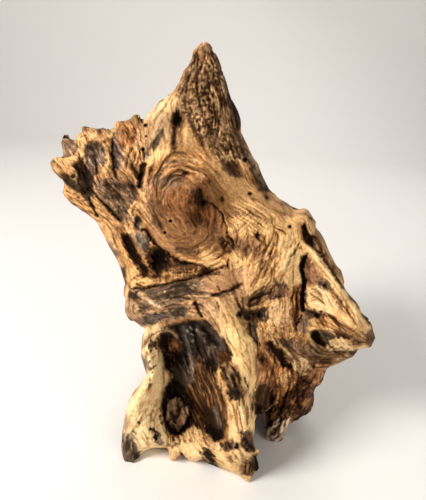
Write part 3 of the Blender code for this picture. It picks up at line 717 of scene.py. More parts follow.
def fan():
    # the thin plate behind, with its charred curl
    wash([(60, 141), (64, 139), (70, 139), (78, 141), (78, 150), (74, 156), (68, 158), (62, 158), (62, 150)], rgb(142, 114, 92), 1.0, 1.5, wobble=0.6, depth=3.0)
    wash([(61, 139), (64, 132), (68, 131), (72, 135.5), (68, 139), (63, 141)], CHAR, 1.0, 1.2, wobble=0.5)
    line([(66, 139), (72, 140), (78, 141)], 1.3, rgb(80, 60, 44))
    # lower left lobe
    wash([(49, 158), (54, 154), (61, 157), (68, 158), (76, 154), (80, 150), (82, 157), (76, 166), (73, 173), (66, 175), (57, 173), (50, 166)], rgb(220, 172, 116), 1.0, 2, wobble=1.0, depth=-1.2)
    lines([[(56, 163), (62, 168), (68, 171)], [(60, 161), (66, 165), (73, 168)], [(58, 170), (64, 174), (70, 175)]], 1.1, rgb(178, 128, 80), 0.6)
    line([(52.5, 160), (53.2, 163.5)], 1.2, DARK, 0.9, 1.5)
    # dark patch under it and the lower edge
    wash([(60, 177), (66, 175), (72, 177), (78, 181), (84, 189), (89, 197), (88, 202), (82, 200), (76, 193), (70, 188), (63, 182)], rgb(66, 54, 42), 0.95, 3, depth=1.4)
    chips([(62, 177), (78, 181), (88, 198), (82, 200), (70, 188)], rgb(150, 116, 80), 0.7, 0.8)
    lines([[(61, 178), (66, 181), (71, 186)], [(70, 183), (75, 188), (80, 194)]], 1.6, CHAR, 0.9, 1.0)
    wash([(62, 184), (69, 188), (77, 195), (86, 203), (92, 213), (98, 221), (90, 218), (76, 207), (66, 198), (60, 192)], rgb(204, 154, 100), 0.9, 2.5, wobble=1.0)
    lines([[(66, 190), (76, 198), (88, 210)], [(70, 190), (80, 199), (90, 208)], [(80, 202), (90, 211), (99, 220)]], 1.0, rgb(150, 104, 62), 0.6)
    line([(64, 196), (69, 201), (76, 206), (84, 211), (94, 218)], 1.3, rgb(60, 40, 26), 0.9, 0.6)
    # the dark valley, its darkness painted shade
    stroke([(77, 158), (81, 166), (85, 177), (88, 188), (89, 198)], 6.5, 3.6, rgb(70, 54, 42), 0.97, "flat", ends=0.12)
    stroke([(82, 168), (85.5, 177), (88, 186), (89.5, 196)], 3.2, 1.2, rgb(28, 21, 17), 1.0, ends=0.2)
    lines([[(75, 162), (78, 170), (80, 178)], [(79, 162), (83, 172), (86, 182)], [(84, 164), (87, 174), (90, 184)]], 1.2, BLACK, 0.9, 1.2)
    lines([[(78, 161), (81, 168)], [(84, 160), (86, 166)], [(81, 176), (83, 184)]], 1.0, rgb(128, 98, 70), 0.8, -0.5)
    stroke([(72, 160), (76, 164), (79, 170)], 2.6, 0.8, rgb(98, 72, 48), 0.8, ends=0.2)
    stroke([(88, 194), (91, 203), (95, 212), (100, 219)], 1.9, 2.6, BLACK, 1.0)
    line([(78, 150), (79.5, 155), (80, 160)], 1.3, DARK, 0.9, 1.2)
    # bright outer ridge and the flake along the top
    ridge([(76, 135), (78, 141), (79, 147)], 2.8, 1.6, rgb(226, 178, 120))
    ridge([(82, 148), (84, 156), (86, 164)], 2.2, 1.4, rgb(222, 172, 114))
    wash([(78, 134), (84, 132), (97, 131), (108, 131), (112, 137), (104, 141), (96, 141), (84, 142), (78, 140)], rgb(226, 178, 120), 0.9, 2, wobble=1.0, depth=-1.0)
    wash([(82, 125), (90, 126), (97, 128), (110, 129), (111, 133), (100, 134), (90, 132), (84, 131)], rgb(138, 106, 74), 0.85, 2, wobble=0.8)
    line([(86, 125), (90, 126.5), (97, 129)], 1.8, rgb(70, 48, 32), 0.9)
    line([(98, 129), (104, 129), (110, 130)], 1.3, rgb(84, 58, 38), 0.8)
    line([(80, 138), (83, 136), (87, 135)], 1.0, rgb(130, 84, 50), 0.8)
    chips([(84, 128), (112, 128), (112, 140), (96, 140)], rgb(160, 116, 76), 0.9, 0.7, PEBBLE)
    ledge([(112, 141), (104, 143), (98, 142), (90, 141), (84, 143)], 1.8, 3.0, rgb(140, 90, 52), 0.6)
    # grey inner face
    wash([(85, 143), (90, 141), (97, 142), (103, 146), (109, 148), (109, 157), (104, 164), (100, 169), (97, 179), (92, 180), (88, 168), (85, 158)], rgb(112, 92, 78), 0.95, 2.5, depth=1.6, rough=1.0)
    wash([(86, 143), (97, 142), (99, 149), (92, 151), (86, 151)], rgb(72, 56, 44), 0.9, 2)
    chips([(85, 143), (103, 146), (104, 164), (92, 178)], rgb(56, 42, 34), 0.75, 0.8)
    ridge([(88, 157), (91, 166), (94, 176)], 1.8, 0.8, rgb(160, 140, 124), 0.7)
    ridge([(99, 150), (104, 156)], 2.0, 0.3, rgb(160, 138, 124), 0.6)
    stroke([(95, 152), (95.5, 160), (97, 168), (98, 176), (101, 183)], 1.3, 1.8, rgb(48, 34, 26), 0.95)
    stroke([(91, 178), (96, 183), (102, 191)], 3.0, 1.2, rgb(72, 62, 58), 0.85)
    stroke([(93, 186), (96, 190), (95, 197)], 2.4, -0.8, rgb(204, 160, 112), 0.7)
    # golden rib
    ridge([(103, 141), (107, 150), (108, 160), (107, 168), (107, 176)], 3.8, 2.4, rgb(232, 184, 124), 0.95)
    wash([(100, 168), (112, 168), (116, 180), (104, 184), (97, 180)], rgb(196, 146, 98), 0.8, 3)
    chips([(98, 170), (116, 170), (114, 184), (102, 186)], rgb(120, 82, 52), 0.9, 0.7)
    # slate blade beside it
    wash([(118, 129), (121, 133), (122, 143), (124, 153), (123, 163), (119, 169), (113, 167), (111, 156), (111.5, 144), (114, 136)], rgb(112, 99, 90), 0.95, 2, depth=1.0)
    stroke([(113, 138), (112, 147), (112, 157), (113, 166), (116, 173), (117, 181)], 1.4, 2.4, CHAR, 0.95)
    wash([(121, 154), (130, 155), (131, 165), (124, 168), (120, 164)], rgb(152, 126, 110), 0.85, 3)
    chips([(112, 138), (122, 140), (124, 164), (114, 168)], rgb(130, 104, 84), 0.9, 0.7)
    # red-brown face up to the peak
    wash([(119, 123), (130, 121), (139, 124), (141, 133), (138, 143), (130, 147), (121, 150), (118, 138)], rgb(178, 124, 76), 0.75, 3)
    lines([[(122, 128), (124, 138), (123, 150)], [(128, 126), (128, 138), (125, 150)], [(120, 124), (119, 132)]], 1.4, rgb(130, 82, 48), 0.7, 0.8)
    stroke([(133, 127), (135, 133), (132, 140)], 2.6, 1.2, rgb(88, 54, 32), 0.9)
    wash([(130, 118), (134, 114), (140, 114), (143, 122), (136, 125), (130, 122)], rgb(150, 118, 78), 0.8, 2)
    line([(139.5, 115), (141, 120), (143, 124)], 2.0, rgb(60, 44, 30), 0.95)
    wash([(134, 132), (140, 126), (150, 126), (152, 138), (147, 148), (136, 143)], rgb(178, 138, 98), 0.85, 3)
    spot(133, 139, 3, 4, rgb(96, 56, 30), 0.8)
    # long pale strips running down
    wash([(124, 148), (134, 144), (146, 142), (148, 152), (142, 168), (134, 186), (122, 186), (122, 166)], rgb(196, 150, 102), 0.75, 4, rough=1.0)
    lines([[(137, 150), (134, 160), (131, 169)], [(133, 146), (128, 158), (126, 170)], [(141, 148), (139, 158), (136, 168)]], 1.3, rgb(116, 78, 48), 0.85, 1.4)
    lines([[(134, 150), (130, 160)], [(139, 152), (136, 164)]], 1.6, rgb(228, 184, 130), 0.6, -0.8)
    stroke([(143, 149), (144.3, 155), (144, 161)], 1.7, 2.6, CHAR, 0.95)
    stroke([(146, 152), (147, 160), (145, 168)], 3.0, 0.3, rgb(124, 108, 100), 0.8)
    stroke([(132, 164), (136, 172), (138, 182), (134, 192)], 5.0, 1.4, rgb(90, 70, 52), 0.8)
    stroke([(145, 161), (143.5, 168), (142, 175), (140.5, 183), (139, 190)], 3.4, 5.0, BLACK, 1.0, "flat", ends=0.12)
    # grey rough floor of the fan
    wash([(101, 181), (115, 178), (128, 181), (138, 189), (136, 200), (130, 207), (130, 222), (118, 220), (108, 207), (99, 195)], rgb(126, 102, 80), 0.9, 4, depth=1.2, rough=1.0)
    chips([(100, 182), (137, 190), (130, 222), (108, 207)], rgb(72, 57, 44), 0.6, 0.85)
    chips([(100, 182), (137, 190), (130, 222), (108, 207)], rgb(158, 124, 88), 1.1, 0.7)
    for u, v, ru, rv in ((109, 185, 5, 2.5), (121, 186, 8, 3), (117, 197, 6, 3), (133, 186, 5, 5), (124, 212, 5, 4)):
        spot(u, v, ru, rv, rgb(66, 53, 43), 0.6, 0.8)
    ridge([(136, 186), (134, 194), (132, 204)], 2.6, 0.8, rgb(104, 84, 66), 0.8)
    spot(137, 182, 3, 2.4, rgb(206, 158, 108), 0.8, -0.6)
    # groove running down to the right, golden rib above it
    stroke([(90, 188), (96, 195), (102, 202), (109, 209), (116, 216), (123, 224)], 2.0, 3.6, BLACK, 1.0)
    stroke([(94, 196), (102, 206), (110, 214), (118, 222)], 3.4, -1.6, rgb(206, 152, 98), 0.85)
    ridge([(92, 188), (98, 196), (104, 200)], 2.0, 0.8, rgb(196, 148, 100), 0.6)
    # curl at the foot of the fan
    ridge([(131, 216), (132, 208), (136, 203), (141, 205), (145, 213), (148, 222)], 2.4, 1.8, rgb(222, 176, 122), 0.9)
    stroke([(136, 208), (139, 210), (141, 215)], 1.2, 0.8, rgb(120, 78, 46), 0.8)
    spot(137.5, 220, 3.2, 4.5, rgb(40, 34, 34), 0.95, 2.6)
    ridge([(143, 178), (145, 190), (143, 202)], 2.2, 1.0, rgb(176, 138, 104), 0.8)
    stroke([(147, 172), (148, 186), (146, 200)], 2.4, 1.0, rgb(96, 76, 60), 0.7)
    hole(145.8, 125.2, 1.9)
    hole(146.2, 136.3, 1.2, 2.5)
    hole(73.6, 176.0, 2.0)
    hole(143, 149.4, 1.9)


def spike():
    # pale left flank
    wash([(158, 104), (163, 98), (168, 96), (175, 90), (178, 98), (176, 108), (168, 112), (160, 110)], rgb(238, 202, 148), 0.9, 4)
    wash([(147, 116), (158, 108), (168, 114), (168, 128), (160, 132), (151, 130), (146, 124)], rgb(202, 166, 124), 0.9, 4)
    wash([(152, 130), (166, 126), (172, 132), (168, 150), (156, 160), (150, 152)], rgb(188, 146, 100), 0.8, 5)
    line([(167, 103), (165, 108)], 1.1, rgb(150, 104, 62))
    spot(163, 112, 1.6, 2.0, rgb(160, 114, 70), 0.8)
    line([(168.5, 112), (168, 121)], 1.1, rgb(150, 106, 66), 0.7)
    lines([[(158, 118), (155, 124), (153, 130)], [(172, 100), (171, 108)], [(163, 120), (160, 128)]], 0.9, rgb(160, 118, 76), 0.5)
    # dark pit with the valley under it; its black and the brown round it are painted over the pit's lit right wall too,
    # as painted shade
    spot(178, 122, 7.0, 12.5, rgb(76, 50, 30), 0.97, 1.6, soft=0.7)
    spot(178, 119.5, 4.8, 8.4, BLACK, 1.0, 3.4)
    stroke([(183.5, 112), (185.5, 122), (184, 134)], 2.6, 0.3, rgb(120, 88, 54), 0.8)
    spot(178.5, 133, 4.5, 4.0, rgb(110, 78, 48), 0.85, 0.4)
    stroke([(175.5, 125), (174.5, 132), (175, 140), (174, 152)], 4.2, 2.2, rgb(92, 64, 40), 0.95)
    stroke([(175, 128), (175, 137), (174, 146)], 1.4, 0.8, rgb(48, 32, 22), 0.85)
    # grey strip down the left
    stroke([(163, 127), (157, 137), (152, 148), (148, 158)], 5.4, 2.0, rgb(78, 68, 60), 0.97, ends=0.15)
    wash([(146, 124), (156, 118), (168, 122), (170, 134), (160, 128), (150, 134)], rgb(178, 142, 106), 0.8, 4)
    stroke([(160, 136), (157, 146)], 1.6, 0.0, rgb(40, 34, 32), 0.7)
    ridge([(163, 127), (156, 134), (151, 140)], 1.3, 0.8, rgb(206, 168, 124), 0.8)
    # smooth tan between pit and bark
    stroke([(182, 130), (181, 141), (181, 152)], 4.6, 0.4, rgb(156, 116, 72), 0.85)
    wash([(186, 112), (190, 122), (194, 132), (199, 142), (206, 152), (187, 152), (183, 142), (184, 130), (185.5, 120)], rgb(186, 142, 94), 0.9, 3, rough=0.3)
    ridge([(187, 127), (186.5, 138), (187, 150)], 3.2, 0.8, rgb(212, 168, 114), 0.75)
    # bark
    bark = [(197, 50), (203, 43), (209, 44), (216, 56), (226, 82), (234, 104), (243, 128), (247, 146), (256, 162), (262, 176), (254, 172), (244, 160), (238, 164), (226, 166), (216, 158), (206, 150), (196, 136), (190, 122), (184, 112), (179, 98), (180, 86), (185, 72), (191, 60)]
    wash(bark, rgb(98, 72, 50), 1.0, 3, rough=0.8)
    flakes = 0.7 * streaks(grain_noise(0.6, 61), ANGLE, 4) + 0.6 * grain_noise(0.8, 62)
    chips(bark, rgb(172, 136, 98), 0.15, 0.85, flakes, height=0.5)
    chips(bark, rgb(48, 34, 25), 0.55, 0.85, -flakes, height=-0.4)
    chips(bark, rgb(206, 168, 124), 1.2, 0.85, flakes, height=0.4)
    wash([(190, 60), (197, 50), (205, 60), (200, 82), (192, 96), (184, 100), (181, 88), (186, 72)], rgb(190, 150, 108), 0.5, 6)
    chips([(190, 60), (205, 56), (206, 84), (196, 104), (182, 98)], rgb(82, 58, 38), 0.45, 0.85, height=-0.3)
    wash([(222, 80), (232, 100), (241, 124), (246, 146), (232, 136), (222, 118), (216, 96)], rgb(122, 94, 66), 0.5, 6)
    chips([(222, 80), (241, 124), (246, 146), (216, 118)], rgb(150, 116, 80), 0.7, 0.8)
    wash([(192, 50), (200, 42), (210, 43), (209, 56), (198, 60)], rgb(168, 126, 86), 0.85, 3)
    lines([[(199, 46), (196, 56), (190, 68)], [(205, 48), (204, 60), (198, 76)], [(190, 74), (187, 86), (186, 98)], [(196, 90), (200, 104), (206, 118)], [(206, 70), (209, 86), (214, 102)], [(188, 100), (192, 112), (200, 126)]], 1.1, rgb(62, 42, 28), 0.8, 0.8)
    spot(212, 54, 2.2, 3.4, rgb(44, 30, 22), 0.9, 0.6)
    stroke([(211, 44), (216, 56), (221, 69), (226, 82), (230, 94), (235, 106), (240, 118), (241.5, 131)], 3.0, 0.4, rgb(70, 52, 38), 0.75, "flat", ends=0.1)
    stroke([(227, 88), (231, 99), (235, 109), (238.5, 120), (240, 131)], 3.4, 0.6, rgb(30, 22, 17), 0.97, "flat", ends=0.12)
    stroke([(190, 120), (194, 130), (198, 139), (205, 148)], 2.4, 0.9, rgb(96, 72, 44), 0.85, ends=0.15)
    wash([(184, 92), (194, 88), (200, 96), (200, 108), (192, 112), (184, 104)], rgb(196, 156, 110), 0.6, 5)
    wash([(212, 100), (222, 102), (230, 116), (236, 134), (228, 138), (218, 124)], rgb(176, 138, 98), 0.7, 5)
    lines([[(213, 88), (217, 98), (219, 107), (221, 116)], [(226, 106), (230, 113), (234, 119)], [(220, 78), (223, 88), (227, 97)]], 1.3, rgb(196, 160, 116), 0.85, -0.7)
    lines([[(219, 89), (222, 98), (226, 106)], [(229, 116), (234, 128), (240, 140)], [(212, 106), (217, 118), (224, 130)], [(204, 116), (210, 128), (218, 140)]], 1.2, rgb(80, 58, 40), 0.8, 0.8)
    spot(186, 102, 4, 4, rgb(116, 82, 52), 0.7)
    spot(190, 115, 2.6, 2.6, rgb(104, 74, 46), 0.7)
    wash([(206, 132), (214, 136), (224, 144), (226, 152), (214, 150), (206, 144)], rgb(102, 78, 50), 0.7, 4)
    # lower bark: fine hatching down to the right
    wash([(208, 140), (240, 136), (250, 158), (242, 162), (228, 160), (216, 154)], rgb(118, 88, 58), 0.6, 4)
    lines([[(214, 138), (222, 146), (230, 153)], [(221, 136), (230, 144), (238, 151)], [(212, 145), (220, 152), (226, 157)], [(230, 134), (238, 144), (245, 154)], [(238, 134), (243, 143), (250, 156)]], 1.2, rgb(62, 44, 30), 0.8, 0.7)
    lines([[(218, 140), (226, 147)], [(226, 138), (234, 146)], [(234, 138), (240, 146)], [(216, 150), (222, 155)]], 1.1, rgb(206, 166, 118), 0.75, -0.5)
    wash([(184, 146), (206, 148), (218, 158), (228, 172), (220, 178), (206, 166), (190, 156)], rgb(158, 118, 76), 0.7, 5)
    # bare tongue below it, then the last scale of bark
    wash([(222, 153), (232, 154), (236, 160), (228, 163), (221, 159)], rgb(226, 184, 132), 0.9, 2)
    wash([(219, 163), (230, 161), (238, 164), (244, 172), (245, 178), (239, 180), (230, 175), (222, 169)], rgb(88, 64, 44), 0.95, 2, wobble=1.2, depth=-1.0)
    stroke([(226, 167), (234, 172), (240, 177)], 2.0, 0.4, rgb(52, 38, 28), 0.8)
    ridge([(211, 157), (218, 166), (226, 174), (236, 182)], 2.4, 1.0, rgb(206, 168, 116), 0.8)
    stroke([(215, 170), (217.5, 174), (220, 178.5)], 1.5, 1.0, rgb(96, 66, 38), 0.85)
    wash([(238, 162), (248, 162), (256, 178), (262, 190), (248, 190), (246, 176)], rgb(208, 162, 110), 0.8, 3)
    hole(245, 160, 2.3, 2.5)
    # black bark strip down the shoulder
    wash([(249, 166), (254, 164), (259, 168), (264, 178), (272, 191), (266, 192), (258, 190), (256, 182), (252, 174)], rgb(54, 40, 30), 0.97, 1.5, wobble=0.8, depth=-0.6)
    wash([(250, 150), (258, 163), (264, 176), (270, 189), (264, 184), (256, 170), (249, 158)], rgb(146, 116, 84), 0.8, 2)
    line([(250, 152), (256, 164), (263, 178), (270, 189)], 1.0, rgb(72, 54, 40), 0.8)
    lines([[(252, 168), (257, 175), (260, 180)], [(262, 182), (264, 187), (263, 190)], [(255, 165), (260, 173)]], 1.1, rgb(184, 146, 102), 0.85, -0.4)
    ledge([(256, 189), (262, 190.5), (268, 191), (273, 191.5)], 1.4, 2.5, rgb(40, 28, 20), 0.9)


def knot():
    wash([(150, 168), (172, 158), (200, 162), (214, 180), (222, 206), (220, 232), (204, 246), (180, 246), (160, 234), (150, 210), (146, 190)], rgb(150, 102, 62), 0.75, 12)
    # rim of the knot: pale band on the left and below
    stroke([(152, 158), (146, 172), (145, 190), (148, 212), (156, 230), (168, 243), (180, 250)], 5.5, -0.8, rgb(208, 160, 116), 0.85, ends=0.05)
    wash([(150, 152), (166, 148), (172, 152), (164, 158), (152, 164), (148, 162)], rgb(228, 182, 124), 0.9, 3)
    spot(151, 169, 2.4, 5.5, rgb(78, 48, 28), 0.9, 1.4, angle=20)
    # crown: golden, streaked with grey arcs
    wash([(158, 162), (172, 156), (190, 156), (206, 164), (214, 178), (204, 184), (186, 178), (166, 178), (154, 180)], rgb(198, 148, 96), 0.8, 5, rough=0.7)
    ridge([(168, 158), (182, 158), (196, 160), (208, 168)], 3.0, 0.8, rgb(226, 180, 122), 0.75)
    lines([[(160, 164), (168, 162), (180, 161.5)], [(158, 170), (166, 167), (178, 166)], [(172, 153), (180, 152.5), (188, 154)]], 1.9, rgb(100, 80, 64), 0.75, 0.8)
    lines([[(162, 167), (170, 165)], [(180, 168), (192, 170), (202, 176)], [(186, 164), (198, 168), (206, 176)]], 1.4, rgb(214, 166, 112), 0.7, -0.6)
    lines([[(149, 187), (152, 178), (158, 172), (165, 170)], [(152, 184), (156, 177), (163, 174)]], 1.8, rgb(72, 62, 58), 0.85, 1.0)
    stroke([(156, 183), (166, 178), (178, 176), (190, 175)], 2.0, 0.8, rgb(86, 68, 54), 0.85)
    wash([(156, 180), (172, 177), (186, 178), (184, 184), (170, 188), (158, 189)], rgb(120, 102, 88), 0.75, 4)
    lines([[(164, 194), (166, 187), (172, 182), (180, 180)], [(160, 190), (164, 184)]], 1.4, rgb(80, 70, 64), 0.7, 0.5)
    lines([[(166, 186), (172, 180)], [(154, 182), (160, 176)]], 1.2, rgb(176, 150, 124), 0.6, -0.4)
    spot(185.5, 173.8, 4.6, 2.0, rgb(36, 22, 14), 0.95, 2.0)
    stroke([(188, 174), (193, 173), (197, 175)], 1.7, 0.4, rgb(120, 72, 40), 0.85)
    wash([(149, 182), (156, 182), (160, 188), (156, 194), (150, 192)], rgb(198, 154, 124), 0.85, 3)
    wash([(150, 188), (164, 188), (168, 198), (162, 206), (151, 206)], rgb(160, 112, 76), 0.6, 5)
    wash([(184, 178), (198, 181), (197, 190), (184, 190)], rgb(168, 122, 80), 0.5, 5)
    # left side: grey-brown stained band
    wash([(150, 196), (160, 200), (166, 216), (176, 236), (172, 244), (160, 234), (152, 216)], rgb(98, 70, 46), 0.75, 6)
    stroke([(154, 198), (152, 208), (155, 219), (161, 229)], 5.6, 0.6, rgb(92, 70, 50), 0.85, ends=0.12)
    stroke([(155, 214), (158, 222), (163, 229)], 3.4, 0.8, rgb(64, 48, 36), 0.85)
    stroke([(165, 190), (163, 200), (164, 210)], 3.6, 0.3, rgb(124, 94, 68), 0.6)
    chips([(150, 196), (170, 196), (170, 216), (158, 214)], rgb(110, 80, 54), 0.8, 0.6)
    # warm middle with faint rings
    wash([(166, 194), (188, 192), (190, 212), (186, 230), (172, 232), (164, 216)], rgb(150, 98, 58), 0.5, 8)
    wash([(160, 200), (172, 200), (174, 216), (164, 218)], rgb(98, 66, 42), 0.45, 6)
    chips([(160, 190), (196, 190), (196, 232), (166, 236)], rgb(96, 60, 34), 0.9, 0.6, PEBBLE)
    chips([(164, 196), (190, 196), (190, 230), (168, 232)], rgb(196, 140, 86), 1.1, 0.5, PEBBLE)
    # the black comma and its brown halo
    wash([(190, 194), (200, 186), (206, 194), (212, 206), (210, 216), (204, 226), (192, 226), (186, 214)], rgb(78, 48, 28), 0.8, 8, depth=0.8)
    chips([(186, 200), (212, 206), (208, 228), (190, 228)], rgb(130, 86, 48), 0.7, 0.5, PEBBLE)
    stroke([(199.5, 186), (200.5, 192), (201.5, 198), (204.5, 205)], 3.6, 3.2, BLACK, 1.0, ends=0.2)
    spot(203.5, 203, 4.6, 5.2, BLACK, 1.0, 2.6, angle=35, soft=0.7)
    spot(197.5, 199, 2.4, 4.6, BLACK, 0.85, 1.0, soft=0.8)
    lines([[(190, 200), (194, 207)], [(193, 196), (190, 204)]], 1.3, rgb(40, 26, 18), 0.8)
    ridge([(202, 188), (206, 195), (209, 203)], 2.4, 1.0, rgb(132, 94, 54), 0.85)
    wash([(202, 211), (212, 209), (217, 215), (208, 219), (202, 218)], rgb(138, 84, 44), 0.7, 5)
    spot(207, 183, 4.2, 4.0, rgb(70, 44, 24), 0.75, 0.4)
    lines([[(203, 181), (205, 185)], [(209, 180), (210, 185)]], 1.3, rgb(40, 26, 16), 0.8)
    chips([(188, 216), (216, 216), (220, 240), (196, 240)], rgb(84, 56, 32), 0.7, 0.75)
    spot(209, 224, 5, 4, rgb(70, 50, 38), 0.75)
    spot(196, 221, 5, 3.5, rgb(84, 54, 30), 0.6)
    spot(210, 235, 4, 2.4, rgb(74, 52, 40), 0.7)
    # smooth olive-tan shelf above the crack
    wash([(206, 168), (218, 172), (226, 184), (226, 200), (220, 206), (212, 202), (207, 190)], rgb(124, 88, 50), 0.9, 7, rough=0.2)
    wash([(216, 176), (228, 184), (238, 196), (232, 208), (224, 206)], rgb(146, 108, 66), 0.7, 7, rough=0.2)
    spot(222.3, 199.5, 2.6, 2.8, rgb(44, 28, 16), 0.9, 1.6)
    spot(234.5, 213, 7.0, 6.0, rgb(116, 80, 46), 0.85, 1.4, soft=0.8)
    spot(235, 214, 3.2, 3.0, rgb(62, 40, 24), 0.92, 1.0)
    stroke([(222, 206), (227, 214), (231, 225), (232, 236)], 4.0, 0.4, rgb(128, 92, 56), 0.75)
    # lower knot
    wash([(166, 228), (190, 230), (214, 234), (218, 246), (204, 258), (184, 252), (168, 242)], rgb(182, 134, 84), 0.75, 7, rough=0.6)
    wash([(164, 218), (190, 222), (216, 226), (220, 244), (208, 258), (184, 254), (168, 244)], rgb(140, 100, 64), 0.85, 7, rough=0.4)
    wash([(158, 216), (176, 212), (184, 226), (182, 244), (168, 246), (159, 232)], rgb(136, 94, 58), 0.5, 6)
    chips([(166, 218), (218, 224), (218, 258), (184, 254)], rgb(86, 58, 36), 0.6, 0.8, PEBBLE)
    chips([(168, 226), (218, 230), (218, 258), (186, 254)], rgb(200, 150, 94), 1.0, 0.7, PEBBLE)
    stroke([(174, 247), (182, 251), (192, 251.5), (199, 249)], 3.4, 0.8, rgb(96, 76, 62), 0.8)
    stroke([(198, 246), (198.5, 252), (198, 256)], 1.2, 0.8, rgb(74, 50, 34), 0.8)
    wash([(200, 250), (214, 248), (222, 254), (218, 264), (206, 264)], rgb(216, 170, 112), 0.75, 4)
    hole(170.6, 221, 1.6, 3)
    hole(165, 232.6, 1.5, 3)
    # the long curved crack
    stroke([(208, 202), (214, 206), (219, 211), (223, 217), (226, 225), (227, 232), (226.5, 236)], 1.35, 2.4, BLACK, 1.0, ends=0.08)
    stroke([(226.5, 235), (230, 239), (234.5, 244)], 1.8, 2.6, BLACK, 1.0, ends=0.1)
    wash([(221, 238), (228, 240), (235, 247), (235, 253), (228, 252), (221, 248)], rgb(70, 48, 32), 0.9, 3, depth=1.2)
    lines([[(229, 241), (226, 246), (222, 250)], [(233, 243), (234, 248), (233.5, 252)], [(225, 240), (222, 244)]], 1.6, BLACK, 0.95, 1.4)
    stroke([(226, 250), (222, 255), (218, 258)], 1.6, 0.8, rgb(90, 60, 36), 0.8)
    stroke([(140, 230), (146, 230.5), (149, 236), (154, 242), (159, 247), (163.5, 251), (170, 257), (176, 259.5)], 1.6, 3.0, BLACK, 1.0, ends=0.06)
    # stained hollow left of the crack
    wash([(131, 214), (142, 220), (146, 228), (142, 232), (134, 230), (131, 222)], rgb(190, 146, 102), 0.7, 3)
    spot(138, 224, 3.2, 6.5, rgb(54, 48, 48), 0.95, 1.8)
    wash([(134, 234), (141, 231), (148, 238), (150, 247), (144, 252), (136, 246)], rgb(112, 98, 82), 0.9, 3, depth=-0.8, gloss=0.6)
    chips([(134, 233), (148, 236), (150, 248), (140, 252)], rgb(56, 44, 36), 0.5, 0.8)
    spot(140.5, 236.5, 2.4, 2.0, rgb(196, 184, 170), 0.8)
    ridge([(141, 250), (146, 257), (150, 263)], 2.6, 0.6, rgb(206, 162, 122), 0.75)


